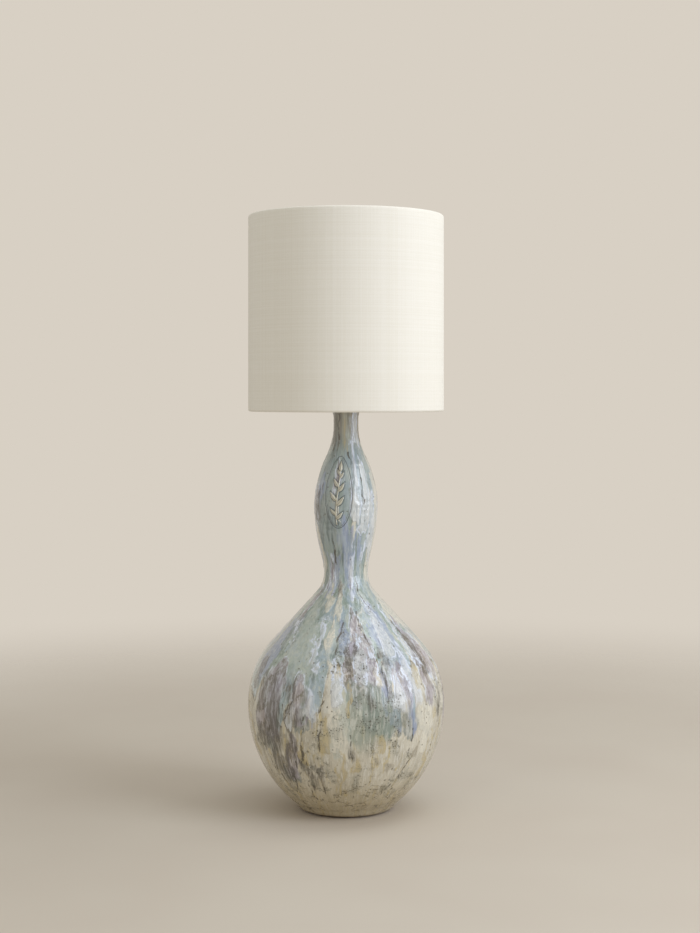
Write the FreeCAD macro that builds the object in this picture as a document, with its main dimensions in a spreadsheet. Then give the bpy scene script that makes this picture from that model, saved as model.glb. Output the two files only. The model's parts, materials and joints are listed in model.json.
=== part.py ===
# Table lamp: a hollow stoneware body in the shape of a double gourd, with a fabric drum shade
# that hangs on a harp over a turn-knob lamp socket.  Everything is in millimetres.  +Z is up,
# the origin is the middle of the felt pad's underside, and -Y is the front of the lamp.
import FreeCAD, Part

import math
import os
from types import SimpleNamespace

import Sketcher
from FreeCAD import Placement, Rotation, Vector

DRIVING_SIZES = (
    # The stoneware body: a belly, a waist, a slim upper lobe and a neck.
    ("pad_radius", 54.0, "felt pad under the foot"),
    ("pad_thickness", 2.0, "felt pad under the foot"),
    ("foot_radius", 58.0, "where the foot's round edge meets the flat foot ring"),
    ("foot_fillet", 6.0, "radius of the foot's round edge"),
    ("foot_recess_radius", 43.0, "hollow under the floor that hides the rod's nut"),
    ("foot_recess_depth", 12.0, "hollow under the floor that hides the rod's nut"),
    ("floor_thickness", 8.0, "stoneware floor that the rod is clamped through"),
    ("wall", 6.5, "stoneware wall, measured square to the surface"),
    ("belly_radius", 129.0, "widest circle of the belly"),
    ("belly_height", 135.0, "from the foot up to the widest circle of the belly"),
    ("shoulder_arc", 118.0, "profile radius just above the belly's widest circle"),
    ("shoulder_angle", 42.7, "lean of the straight shoulder, in degrees from upright"),
    ("waist_radius", 29.3, "narrowest circle between the two lobes"),
    ("waist_fillet", 33.0, "hollow curve where the shoulder runs into the waist"),
    ("waist_band", 4.8, "short upright stretch of the waist"),
    ("waist_sweep", 60.0, "hollow curve where the waist runs into the upper lobe"),
    ("lobe_radius", 41.8, "widest circle of the upper lobe"),
    ("lobe_lower_arc", 230.0, "profile radius below the lobe's widest circle"),
    ("lobe_upper_arc", 141.0, "profile radius above the lobe's widest circle"),
    ("neck_radius", 17.6, "outside of the upright neck"),
    ("neck_sweep", 88.0, "hollow curve where the lobe runs into the neck"),
    ("neck_length", 24.5, "upright part of the neck"),
    ("cord_hole_height", 42.0, "height of the cord outlet in the back of the belly"),
    ("cord_bore_radius", 3.7, "hole of the rubber bush, for a 7 mm cord"),
    ("bush_wall", 1.8, "rubber around the cord"),
    ("bush_flange", 2.2, "rubber flange on each side of the stoneware"),
    # The rod through the middle and what it clamps.
    ("rod_radius", 5.1, "threaded lamp rod"),
    ("rod_wall", 1.8, "wall of the rod around its wireway"),
    ("rod_hole_gap", 1.4, "room around the rod in the stoneware floor"),
    ("cord_slot_width", 6.0, "slot where the cord goes into the rod"),
    ("cord_slot_length", 16.0, "slot where the cord goes into the rod, between its round ends"),
    ("base_washer_radius", 28.0, "washer that spreads the clamping load under the floor"),
    ("washer_thickness", 1.8, "base washer"),
    ("spring_washer_thickness", 1.0, "split washer on the nut"),
    ("nut_flats", 14.3, "across the flats of both rod nuts"),
    ("nut_thickness", 3.6, "both rod nuts"),
    ("rod_end", 2.0, "rod showing past the base nut"),
    ("cap_skin", 1.2, "sheet brass of the neck cap"),
    ("cap_lip", 4.5, "how far the neck cap's rim comes down over the neck"),
    ("cap_rise", 4.5, "height of the neck cap's crown above the neck"),
    # The harp that carries the shade.
    ("saddle_strip", 1.5, "steel strip of the saddle under the socket"),
    ("saddle_width", 12.7, "strip width"),
    ("saddle_reach", 26.1, "from the lamp's axis to the outside of each upright"),
    ("saddle_bend", 4.0, "inside radius of the strip's bends"),
    ("shoulder_rise", 9.0, "from the saddle's underside to the stop of the sleeve"),
    ("tongue_length", 15.0, "narrow tongue that the sleeve slides over"),
    ("tongue_width", 4.0, "narrow tongue that the sleeve slides over"),
    ("harp_wire", 1.7, "radius of the harp's wire"),
    ("harp_height", 215.0, "from the saddle's underside to the seat of the shade"),
    ("harp_half_width", 55.0, "from the lamp's axis to the middle of the side wires"),
    ("harp_leg", 46.0, "height of the upright legs above the saddle's underside"),
    ("harp_sweep", 40.0, "both curves between a leg and a side wire"),
    ("harp_corner", 46.0, "curve between a side wire and the flat top"),
    ("sleeve_length", 18.0, "brass sleeve that locks the harp to the saddle"),
    ("sleeve_wall", 0.8, "brass sleeve"),
    ("seat_radius", 6.5, "round seat crimped on the harp's flat top"),
    ("seat_height", 4.0, "seat's top face above the middle of the wire"),
    ("stud_radius", 3.1, "threaded stud that the finial screws onto"),
    ("stud_length", 13.5, "threaded stud above the seat"),
    # The lamp socket.
    ("hub_wall", 2.9, "threaded hub of the socket's cap"),
    ("hub_height", 7.5, "threaded hub of the socket's cap"),
    ("socket_dome", 8.5, "round shoulder of the socket's cap"),
    ("socket_cap_height", 21.0, "whole height of the socket's cap"),
    ("socket_height", 62.0, "from the hub's underside to the shell's rim"),
    ("socket_skin", 0.8, "sheet brass of the cap and the shell"),
    ("liner_skin", 0.5, "insulating card inside the shell"),
    ("shell_overlap", 4.0, "how far the shell goes down into the cap"),
    ("core_ledge", 0.7, "how far the moulded block stands out past the screw shell"),
    ("core_height", 16.5, "moulded block that holds the switch"),
    ("core_flange", 4.5, "wider top of the moulded block, under the screw shell"),
    ("terminal_head", 1.8, "thickness of a terminal screw's head"),
    ("terminal_radius", 2.8, "terminal screw's head"),
    ("screw_shell_height", 24.0, "brass screw shell for the bulb"),
    ("screw_shell_skin", 0.4, "brass screw shell for the bulb"),
    ("screw_gap", 0.5, "room between the bulb's base and the screw shell, where threads mesh"),
    ("switch_shaft_radius", 2.3, "shaft of the turn switch"),
    ("knob_gap", 1.6, "between the shell and the knob"),
    ("knob_length", 13.0, "turn knob"),
    ("knob_radius", 6.6, "turn knob"),
    ("knob_flute", 0.7, "radius of each grip groove around the knob"),
    # The bulb.
    ("bulb_radius", 30.0, "round end of the glass"),
    ("bulb_sweep", 60.0, "hollow curve between the glass neck and the round end"),
    ("glass", 0.8, "thickness of the glass"),
    ("bulb_base_radius", 13.0, "metal screw base"),
    ("bulb_base_skin", 0.4, "metal screw base"),
    ("bulb_base_height", 21.0, "metal screw base"),
    ("bulb_tip_height", 3.0, "insulator and contact below the metal base"),
    ("glass_tuck", 5.0, "glass neck that is cemented inside the base"),
    # The shade.
    ("shade_radius", 127.0, "outside of the fabric"),
    ("shade_height", 254.0, "from rolled edge to rolled edge"),
    ("spider_drop", 25.0, "how far the fitter is sunk below the shade's top edge"),
    ("fabric", 0.6, "linen of the shade"),
    ("backing", 0.9, "stiff translucent backing behind the linen"),
    ("hem", 12.0, "width of the turned-in hem"),
    ("ring_wire", 1.6, "radius of the wire of both shade rings and the arms"),
    ("arm_bend", 5.0, "bends of the fitter's arms"),
    ("arm_setback", 6.0, "from the top ring's wire in to the arm's upright stretch"),
    ("fitter_washer_radius", 11.0, "washer in the middle of the fitter"),
    ("fitter_washer_thickness", 2.0, "washer in the middle of the fitter"),
    ("notch_gap", 0.9, "room on each side of an arm in the slit in the hem"),
    # The finial.
    ("finial_wall", 1.2, "wall around the finial's threaded hole"),
    ("finial_foot", 1.7, "how far the finial's foot stands out past its neck"),
    ("finial_foot_height", 1.6, "foot of the finial"),
    ("finial_ball_radius", 7.0, "ball of the finial"),
    ("finial_height", 20.0, "whole finial"),
    # Clearances.
    ("thread_gap", 0.06, "radial room between a rod or shaft and what it screws into"),
    ("slip_gap", 0.2, "radial room between parts that push together"),
    ("liner_gap", 0.1, "radial room between the card liner and the socket's shell"),
    ("core_gap", 0.5, "radial room between the moulded block and the card liner"),
    ("running_gap", 0.3, "room between parts that move past each other"),
)

ARM_COUNT = 3
FLUTE_COUNT = 14
FULL_TURN = 360.0
FRONT, BACK = -1, 1

doc = FreeCAD.newDocument("double_gourd_lamp")


# ---------------------------------------------------------------- sizes that follow the sheet


class Size:
    """A length or angle that carries both its number and the sheet expression behind it."""

    def __init__(self, value, text):
        self.value = float(value)
        self.text = text

    def __add__(self, other):
        other = as_size(other)
        return Size(self.value + other.value, f"({self.text} + {other.text})")

    def __sub__(self, other):
        other = as_size(other)
        return Size(self.value - other.value, f"({self.text} - {other.text})")

    def __mul__(self, other):
        other = as_size(other)
        return Size(self.value * other.value, f"({self.text} * {other.text})")

    def __truediv__(self, other):
        other = as_size(other)
        return Size(self.value / other.value, f"({self.text} / {other.text})")

    def __neg__(self):
        return Size(-self.value, f"(-1 * {self.text})")

    def __radd__(self, other):
        return as_size(other) + self

    def __rsub__(self, other):
        return as_size(other) - self

    __rmul__ = __mul__


def as_size(number):
    return number if isinstance(number, Size) else Size(number, f"({number})")


def root(square):
    return Size(math.sqrt(square.value), f"sqrt({square.text})")


def cosine(angle):
    return Size(math.cos(math.radians(angle.value)), f"cos({angle.text})")


def sine(angle):
    return Size(math.sin(math.radians(angle.value)), f"sin({angle.text})")


def arcsine(share):
    return Size(math.degrees(math.asin(share.value)), f"(asin({share.text}) / 1 deg)")


def fill_sheet():
    """Puts the driving sizes in a spreadsheet and returns them by name."""
    sheet = doc.addObject("Spreadsheet::Sheet", "sizes")
    named = {}
    for row, (alias, value, note) in enumerate(DRIVING_SIZES, start=1):
        sheet.set(f"A{row}", alias)
        sheet.set(f"B{row}", str(value))
        sheet.set(f"C{row}", note)
        sheet.setAlias(f"B{row}", alias)
        named[alias] = Size(value, f"sizes.{alias}")
    doc.recompute()
    return SimpleNamespace(**named)


s = fill_sheet()


# ---------------------------------------------------------------- sketches and features


def bind(thing, path, size):
    thing.setExpression(path, as_size(size).text)


def new_body(name):
    body = doc.addObject("PartDesign::Body", name)
    body.Label = name
    return body


def origin_feature(body, role):
    return next(part for part in body.Origin.OriginFeatures if part.Role == role)


def new_sketch(body, name, plane, lift=None):
    """A sketch on one of the body's own origin planes, lifted along the plane's normal."""
    sketch = body.newObject("Sketcher::SketchObject", name)
    sketch.AttachmentSupport = [(origin_feature(body, plane), "")]
    sketch.MapMode = "FlatFace"
    if lift is not None:
        sketch.AttachmentOffset = Placement(Vector(0, 0, lift.value), Rotation())
        bind(sketch, "AttachmentOffset.Base.z", lift)
    return sketch


def hold_point(sketch, edge, end, x, y):
    for kind, distance in (("DistanceX", x), ("DistanceY", y)):
        rule = Sketcher.Constraint(kind, -1, 1, edge, end, distance.value)
        bind(sketch, f"Constraints[{sketch.addConstraint(rule)}]", distance)


def hold_radius(sketch, edge, radius):
    rule = Sketcher.Constraint("Radius", edge, radius.value)
    bind(sketch, f"Constraints[{sketch.addConstraint(rule)}]", radius)


def arc_between(start, end, bend):
    """The short arc from start to end: a positive bend turns left, a negative one right."""
    chord = end - start
    left = Vector(-chord.y, chord.x, 0).normalize()
    reach = math.sqrt(max(bend**2 - (chord.Length / 2) ** 2, 0.0))
    centre = start + chord * 0.5 + left * math.copysign(reach, bend)
    first, last = (start, end) if bend > 0 else (end, start)
    angles = [math.atan2(p.y - centre.y, p.x - centre.x) for p in (first, last)]
    circle = Part.Circle(centre, Vector(0, 0, 1), abs(bend))
    return Part.ArcOfCircle(circle, *angles)


def draw(sketch, points, closed=True):
    """Draws an outline. A point is (x, y), or (x, y, bend) when an arc of that radius leads to it."""
    corners = [tuple(as_size(value) for value in point) for point in points]
    ends = list(range(1, len(corners))) + ([0] if closed else [])
    joints = []
    for end in ends:
        start = end - 1 if end else len(corners) - 1
        a, b = (Vector(corners[i][0].value, corners[i][1].value, 0) for i in (start, end))
        bent = len(corners[end]) > 2
        turns_right = bent and corners[end][2].value < 0
        curve = arc_between(a, b, corners[end][2].value) if bent else Part.LineSegment(a, b)
        edge = sketch.addGeometry(curve, False)
        first, last = (2, 1) if turns_right else (1, 2)
        if joints:
            sketch.addConstraint(Sketcher.Constraint("Coincident", *joints[-1][2:], edge, first))
        joints.append((edge, first, edge, last))
        hold_point(sketch, edge, first, *corners[start][:2])
        if bent:
            radius = -corners[end][2] if turns_right else corners[end][2]
            hold_radius(sketch, edge, radius)
    if closed:
        sketch.addConstraint(Sketcher.Constraint("Coincident", *joints[-1][2:], *joints[0][:2]))
    else:
        hold_point(sketch, *joints[-1][2:], *corners[-1][:2])


def draw_circle(sketch, x, y, radius):
    x, y, radius = (as_size(value) for value in (x, y, radius))
    centre = Vector(x.value, y.value, 0)
    edge = sketch.addGeometry(Part.Circle(centre, Vector(0, 0, 1), radius.value), False)
    hold_point(sketch, edge, 3, x, y)
    hold_radius(sketch, edge, radius)


def revolve(body, points):
    """Turns an outline of (radius, height) points about the body's Z axis."""
    sketch = new_sketch(body, body.Name + "_outline", "XZ_Plane")
    draw(sketch, points)
    turned = body.newObject("PartDesign::Revolution", body.Name + "_turned")
    turned.Profile = sketch
    turned.ReferenceAxis = (sketch, ["V_Axis"])
    turned.Angle = FULL_TURN
    return turned


def turned_body(name, points):
    body = new_body(name)
    revolve(body, points)
    doc.recompute()
    return body


def pad_both_ways(body, sketch, width):
    block = body.newObject("PartDesign::Pad", body.Name + "_block")
    block.Profile = sketch
    block.Midplane = True
    bind(block, "Length", width)
    doc.recompute()
    return block


def cut_pocket(body, sketch, depth, both_ways=False, reverse=False):
    """Cuts the sketch out of the body, and makes sure that something was cut."""
    doc.recompute()
    before = body.Shape.Volume
    pocket = body.newObject("PartDesign::Pocket", sketch.Name + "_cut")
    pocket.Profile = sketch
    pocket.Midplane = both_ways
    pocket.Reversed = reverse
    bind(pocket, "Length", depth)
    doc.recompute()
    if body.Shape.Volume >= before:
        raise RuntimeError(f"{pocket.Name} cuts nothing")
    return pocket


def repeat_around(body, features, count):
    ring = body.newObject("PartDesign::PolarPattern", body.Name + "_around")
    ring.Originals = features
    ring.Axis = (origin_feature(body, "Z_Axis"), [""])
    ring.Angle = FULL_TURN
    ring.Occurrences = count
    body.Tip = ring
    doc.recompute()
    return ring


def pipe(body, path, profile):
    """Sweeps the profile sketch along the whole path sketch."""
    doc.recompute()
    wire = body.newObject("PartDesign::AdditivePipe", body.Name + "_wire")
    wire.Profile = profile
    wire.Spine = (path, [f"Edge{i + 1}" for i in range(len(path.Geometry))])
    doc.recompute()
    return wire


def place(body, x=0, y=0, z=0, turn=None):
    """Places a body by sheet expressions. turn is (axis, angle in degrees)."""
    x, y, z = (as_size(value) for value in (x, y, z))
    axis, angle = turn if turn else (Vector(0, 0, 1), as_size(0))
    angle = as_size(angle)
    body.Placement = Placement(Vector(x.value, y.value, z.value), Rotation(axis, angle.value))
    for path, value in (("x", x), ("y", y), ("z", z)):
        bind(body, f"Placement.Base.{path}", value)
    bind(body, "Placement.Rotation.Angle", angle)


def s_curve(wide_radius, wide_arc, narrow_radius, narrow_arc):
    """Two arcs that run into each other between a widest and a narrowest circle.

    Returns the height between the two circles, and the cosine and sine of the slope where the
    arcs meet."""
    step = wide_radius - narrow_radius
    reach = wide_arc + narrow_arc
    height = root(2 * reach * step - step * step)
    return height, (reach - step) / reach, height / reach


# ---------------------------------------------------------------- heights up the lamp

foot_z = s.pad_thickness
floor_under_z = foot_z + s.foot_recess_depth
floor_top_z = floor_under_z + s.floor_thickness
belly_z = foot_z + s.belly_height

# The arc below the belly's widest circle is the one that touches the foot's round edge.
belly_overhang = s.belly_radius - s.foot_radius
foot_edge_drop = s.belly_height - s.foot_fillet
belly_lower_arc = (
    belly_overhang * belly_overhang
    + foot_edge_drop * foot_edge_drop
    - s.foot_fillet * s.foot_fillet
) / (2 * (belly_overhang - s.foot_fillet))

shoulder_cos = cosine(s.shoulder_angle)
shoulder_sin = sine(s.shoulder_angle)
shoulder_turn = s.shoulder_arc + s.waist_fillet
shoulder_straight = (
    s.belly_radius - s.waist_radius - shoulder_turn * (1 - shoulder_cos)
) / shoulder_sin
waist_z = belly_z + shoulder_turn * shoulder_sin + shoulder_straight * shoulder_cos
waist_top_z = waist_z + s.waist_band
lobe_rise, lobe_low_cos, lobe_low_sin = s_curve(
    s.lobe_radius, s.lobe_lower_arc, s.waist_radius, s.waist_sweep
)
lobe_z = waist_top_z + lobe_rise
neck_rise, lobe_high_cos, lobe_high_sin = s_curve(
    s.lobe_radius, s.lobe_upper_arc, s.neck_radius, s.neck_sweep
)
neck_z = lobe_z + neck_rise
neck_top_z = neck_z + s.neck_length

cap_top_z = neck_top_z + s.cap_rise
saddle_z = cap_top_z + s.nut_thickness
socket_z = saddle_z + s.saddle_strip
dome_z = socket_z + s.hub_height + s.socket_dome
core_z = dome_z + s.socket_skin
core_top_z = core_z + s.core_height
switch_z = core_z + s.core_height / 2
screw_shell_top_z = core_top_z + s.screw_shell_height
socket_top_z = socket_z + s.socket_height

base_nut_top_z = floor_under_z - s.washer_thickness - s.spring_washer_thickness
rod_bottom_z = base_nut_top_z - s.nut_thickness - s.rod_end
rod_top_z = socket_z + s.hub_height
rod_hole_radius = s.rod_radius + s.rod_hole_gap

contact_height = s.bulb_tip_height
bulb_tip_z = core_top_z + contact_height
bulb_base_z = bulb_tip_z + s.bulb_tip_height
bulb_base_top_z = bulb_base_z + s.bulb_base_height

seat_z = saddle_z + s.harp_height
harp_top_z = seat_z - s.seat_height
fitter_z = seat_z + s.running_gap
finial_z = fitter_z + s.fitter_washer_thickness + s.running_gap
shade_top_z = seat_z + s.spider_drop
shade_bottom_z = shade_top_z - s.shade_height

# ---------------------------------------------------------------- the stoneware body

belly_centre_r = s.belly_radius - belly_lower_arc
outlet_sin = (belly_z - s.cord_hole_height) / belly_lower_arc
outlet_cos = root(1 - outlet_sin * outlet_sin)
outlet_slope = arcsine(outlet_sin)
outlet_y = belly_centre_r + belly_lower_arc * outlet_cos
bush_hole_radius = s.cord_bore_radius + s.bush_wall + s.slip_gap


def foot_edge_point():
    """Where the foot's round edge runs into the belly's lower arc."""
    stretch = belly_lower_arc / (belly_lower_arc - s.foot_fillet)
    edge_centre_z = foot_z + s.foot_fillet
    return (
        belly_centre_r + (s.foot_radius - belly_centre_r) * stretch,
        belly_z + (edge_centre_z - belly_z) * stretch,
    )


def gourd_curve(inset):
    """The gourd's outline from the belly's widest circle up to the neck, inset by the wall.

    Each point is (radius, height, bend), and the bends are those met on the way up."""
    shoulder = s.shoulder_arc - inset
    fillet = s.waist_fillet + inset
    low = s.lobe_lower_arc - inset
    high = s.lobe_upper_arc - inset
    lobe_low_r = s.lobe_radius - s.lobe_lower_arc
    lobe_high_r = s.lobe_radius - s.lobe_upper_arc
    waist_centre_r = s.waist_radius + s.waist_fillet
    return [
        (s.belly_radius - inset, belly_z, belly_lower_arc - inset),
        (
            s.belly_radius - s.shoulder_arc + shoulder * shoulder_cos,
            belly_z + shoulder * shoulder_sin,
            shoulder,
        ),
        (waist_centre_r - fillet * shoulder_cos, waist_z - fillet * shoulder_sin, None),
        (s.waist_radius - inset, waist_z, -fillet),
        (s.waist_radius - inset, waist_top_z, None),
        (
            lobe_low_r + low * lobe_low_cos,
            lobe_z - low * lobe_low_sin,
            -(s.waist_sweep + inset),
        ),
        (s.lobe_radius - inset, lobe_z, low),
        (
            lobe_high_r + high * lobe_high_cos,
            lobe_z + high * lobe_high_sin,
            high,
        ),
        (s.neck_radius - inset, neck_z, -(s.neck_sweep + inset)),
        (s.neck_radius - inset, neck_top_z, None),
    ]


def without_empty(point):
    return tuple(value for value in point if value is not None)


def walked_back(curve):
    """The same curve from its last point to its first, with each bend turned round."""
    back = [curve[-1][:2]]
    for point, before in zip(reversed(curve), reversed(curve[:-1])):
        bend = point[2]
        back.append((before[0], before[1], None if bend is None else -bend))
    return back


def make_gourd_body():
    outside = gourd_curve(as_size(0))
    inside = walked_back(gourd_curve(s.wall))
    inner_arc = belly_lower_arc - s.wall
    floor_drop = belly_z - floor_top_z
    floor_edge_r = belly_centre_r + root(inner_arc * inner_arc - floor_drop * floor_drop)
    outline = [
        (rod_hole_radius, floor_under_z),
        (s.foot_recess_radius, floor_under_z),
        (s.foot_recess_radius, foot_z),
        (s.foot_radius, foot_z),
        (*foot_edge_point(), s.foot_fillet),
        *outside,
        *inside,
        (floor_edge_r, floor_top_z, -inner_arc),
        (rod_hole_radius, floor_top_z),
    ]
    body = turned_body("gourd_body", [without_empty(point) for point in outline])
    outlet = new_sketch(body, "cord_outlet", "XZ_Plane")
    outlet.AttachmentOffset = Placement(
        Vector(0, s.cord_hole_height.value, -outlet_y.value),
        Rotation(Vector(-1, 0, 0), outlet_slope.value),
    )
    bind(outlet, "AttachmentOffset.Base.y", s.cord_hole_height)
    bind(outlet, "AttachmentOffset.Base.z", -outlet_y)
    bind(outlet, "AttachmentOffset.Rotation.Angle", outlet_slope)
    draw_circle(outlet, 0, 0, bush_hole_radius)
    cut_pocket(body, outlet, 4 * s.wall, both_ways=True)
    return body


def make_cord_bush():
    """Rubber bush in the cord outlet, gripping the wall between its two flanges."""
    sleeve_r = s.cord_bore_radius + s.bush_wall
    flange_r = sleeve_r + 1.5 * s.bush_wall
    grip = s.wall + 3 * s.slip_gap
    edge = s.bush_flange / 2
    outline = [
        (s.cord_bore_radius, -grip - s.bush_flange),
        (sleeve_r + s.bush_wall / 2, -grip - s.bush_flange),
        (flange_r - s.bush_wall / 2, -grip),
        (sleeve_r, -grip),
        (sleeve_r, 0),
        (flange_r, 0),
        (flange_r, edge),
        (flange_r - edge, s.bush_flange, edge),
        (s.cord_bore_radius, s.bush_flange),
    ]
    body = turned_body("cord_bush", outline)
    place(
        body,
        y=outlet_y,
        z=s.cord_hole_height,
        turn=(Vector(-1, 0, 0), outlet_slope + 90),
    )
    return body


def make_felt_pad():
    pad = doc.addObject("Part::Cylinder", "felt_pad")
    bind(pad, "Radius", s.pad_radius)
    bind(pad, "Height", s.pad_thickness)
    return pad


# ---------------------------------------------------------------- the rod and what it clamps


def tube_outline(bore, outside, bottom, top):
    return [(bore, bottom), (outside, bottom), (outside, top), (bore, top)]


def make_lamp_rod():
    """Threaded tube from the floor to the socket, with a slot at the back for the cord."""
    rod_bore = s.rod_radius - s.rod_wall
    body = turned_body("lamp_rod", tube_outline(rod_bore, s.rod_radius, rod_bottom_z, rod_top_z))
    slot = new_sketch(body, "cord_slot", "XZ_Plane")
    half = s.cord_slot_width / 2
    low, high = s.cord_hole_height, s.cord_hole_height + s.cord_slot_length
    draw(
        slot,
        [
            (-half, low),
            (0, low - half, half),
            (half, low, half),
            (half, high),
            (0, high + half, half),
            (-half, high, half),
        ],
    )
    cut_pocket(body, slot, 2 * s.rod_radius)
    return body


def make_washer(name, radius, top, thickness):
    hole = s.rod_radius + s.slip_gap
    return turned_body(name, tube_outline(hole, radius, top - thickness, top))


def make_nut(name, bottom):
    """Hexagonal nut: a round blank with its top corners turned off, cut to six flats."""
    tip = s.nut_flats / 2 / cosine(as_size(30.0))
    chamfer = tip - s.nut_flats / 2
    top = bottom + s.nut_thickness
    hole = s.rod_radius + s.thread_gap
    blank = [
        (hole, bottom),
        (tip, bottom),
        (tip, top - chamfer / 2),
        (tip - chamfer, top),
        (hole, top),
    ]
    body = turned_body(name, blank)
    flats = new_sketch(body, name + "_flats", "XY_Plane", bottom)
    outside = s.nut_flats
    edge = s.nut_flats / 2
    draw(flats, [(edge, -outside), (outside, -outside), (outside, outside), (edge, outside)])
    first = cut_pocket(body, flats, s.nut_thickness, reverse=True)
    repeat_around(body, [first], 6)
    return body


def make_neck_cap():
    """Spun brass cap that closes the neck, with a rim that comes down over it."""
    inside_r = s.neck_radius + s.slip_gap
    outside_r = inside_r + s.cap_skin
    flat_r = s.nut_flats / 2 + 2 * s.cap_skin
    hole = s.rod_radius + s.slip_gap
    outline = [
        (hole, cap_top_z - s.cap_skin),
        (flat_r - s.cap_skin, cap_top_z - s.cap_skin),
        (s.neck_radius - s.cap_skin / 2, neck_top_z),
        (inside_r, neck_top_z),
        (inside_r, neck_top_z - s.cap_lip),
        (outside_r, neck_top_z - s.cap_lip),
        (outside_r, neck_top_z),
        (outside_r - s.cap_skin, neck_top_z + s.cap_skin, s.cap_skin),
        (flat_r, cap_top_z),
        (hole, cap_top_z),
    ]
    return turned_body("neck_cap", outline)


# ---------------------------------------------------------------- the harp

tongue_z = saddle_z + s.shoulder_rise
tongue_top_z = tongue_z + s.tongue_length
leg_x = s.saddle_reach + s.slip_gap + s.harp_wire
sleeve_half_x = (leg_x + s.harp_wire - s.saddle_reach + s.saddle_strip) / 2
sleeve_x = leg_x + s.harp_wire - sleeve_half_x
half_tongue = s.tongue_width / 2
sleeve_bore = root(sleeve_half_x * sleeve_half_x + half_tongue * half_tongue) + s.running_gap


def make_harp_saddle():
    """Bent steel strip under the socket. Its narrow ends take the harp's legs."""
    inner_x = s.saddle_reach - s.saddle_strip
    outer_bend = s.saddle_bend + s.saddle_strip
    inside_z = saddle_z + s.saddle_strip
    bend_z = saddle_z + outer_bend
    right = [
        (s.saddle_reach - outer_bend, saddle_z),
        (s.saddle_reach, bend_z, outer_bend),
        (s.saddle_reach, tongue_top_z),
        (inner_x, tongue_top_z),
        (inner_x, bend_z),
        (inner_x - s.saddle_bend, inside_z, -s.saddle_bend),
    ]
    left = [
        (-(inner_x - s.saddle_bend), inside_z),
        (-inner_x, bend_z, -s.saddle_bend),
        (-inner_x, tongue_top_z),
        (-s.saddle_reach, tongue_top_z),
        (-s.saddle_reach, bend_z),
        (outer_bend - s.saddle_reach, saddle_z, outer_bend),
    ]
    body = new_body("harp_saddle")
    strip = new_sketch(body, "saddle_strip", "XZ_Plane")
    draw(strip, right + left)
    pad_both_ways(body, strip, s.saddle_width)
    for side, sketch_name in ((1, "tongue_back"), (-1, "tongue_front")):
        cut = new_sketch(body, sketch_name, "YZ_Plane")
        near, far = side * half_tongue, side * s.saddle_width
        above = tongue_top_z + s.saddle_strip
        slope = tongue_z - s.saddle_strip
        edge = side * s.saddle_width / 2
        draw(cut, [(near, tongue_z), (edge, slope), (far, slope), (far, above), (near, above)])
        cut_pocket(body, cut, 3 * s.saddle_reach, both_ways=True)
    hole = new_sketch(body, "saddle_hole", "XY_Plane", saddle_z)
    draw_circle(hole, 0, 0, s.rod_radius + s.slip_gap)
    cut_pocket(body, hole, s.saddle_strip, reverse=True)
    return body


def make_harp():
    """The wire loop: upright legs, a sweep out round the bulb, and a flat top."""
    start_z = saddle_z + 2 * s.saddle_strip
    sweep_z = saddle_z + s.harp_leg
    rise, cos, sin = s_curve(s.harp_half_width, s.harp_sweep, leg_x, s.harp_sweep)
    side_z = sweep_z + rise
    turn_x = s.harp_half_width - s.harp_sweep * (1 - cos)
    turn_z = side_z - s.harp_sweep * sin
    corner_z = harp_top_z - s.harp_corner
    flat_x = s.harp_half_width - s.harp_corner
    points = [
        (leg_x, start_z),
        (leg_x, sweep_z),
        (turn_x, turn_z, -s.harp_sweep),
        (s.harp_half_width, side_z, s.harp_sweep),
        (s.harp_half_width, corner_z),
        (flat_x, harp_top_z, s.harp_corner),
        (-flat_x, harp_top_z),
        (-s.harp_half_width, corner_z, s.harp_corner),
        (-s.harp_half_width, side_z),
        (-turn_x, turn_z, s.harp_sweep),
        (-leg_x, sweep_z, -s.harp_sweep),
        (-leg_x, start_z),
    ]
    body = new_body("harp")
    path = new_sketch(body, "harp_path", "XZ_Plane")
    draw(path, points, closed=False)
    profile = new_sketch(body, "harp_section", "XY_Plane", start_z)
    draw_circle(profile, leg_x, 0, s.harp_wire)
    pipe(body, path, profile)
    return body


def make_harp_seat():
    """Round seat crimped over the wire, with the stud for the finial."""
    bottom = harp_top_z - s.harp_wire
    outline = [
        (0, bottom),
        (s.seat_radius, bottom),
        (s.seat_radius, seat_z),
        (s.stud_radius, seat_z),
        (s.stud_radius, seat_z + s.stud_length),
        (0, seat_z + s.stud_length),
    ]
    body = turned_body("harp_seat", outline)
    channel = new_sketch(body, "wire_channel", "YZ_Plane")
    room = s.harp_wire + s.thread_gap
    below = bottom - s.harp_wire
    draw(
        channel,
        [
            (-room, below),
            (room, below),
            (room, harp_top_z),
            (0, harp_top_z + room, room),
            (-room, harp_top_z, room),
        ],
    )
    cut_pocket(body, channel, 3 * s.seat_radius, both_ways=True)
    return body


def make_sleeve(name, side):
    """Brass sleeve around a leg and its tongue. It rests on the saddle's shoulder."""
    outside = sleeve_bore + s.sleeve_wall
    bottom = tongue_z + s.running_gap
    top = bottom + s.sleeve_length
    edge = s.sleeve_wall / 2
    outline = [
        (sleeve_bore, bottom),
        (outside, bottom),
        (outside, top - 4 * s.sleeve_wall),
        (outside - edge, top),
        (sleeve_bore, top),
    ]
    body = turned_body(name, outline)
    place(body, x=side * sleeve_x)
    return body


# ---------------------------------------------------------------- the lamp socket

# Each ring of the socket goes around the one inside it, from the bulb's base outwards.
screw_shell_radius = s.bulb_base_radius + s.screw_gap + s.screw_shell_skin
core_radius = screw_shell_radius + s.core_ledge
liner_radius = core_radius + s.core_gap + s.liner_skin
shell_radius = liner_radius + s.liner_gap + s.socket_skin
socket_radius = shell_radius + s.slip_gap + s.socket_skin
core_waist_radius = core_radius - s.terminal_head - s.running_gap
core_flange_z = core_top_z - s.core_flange


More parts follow.
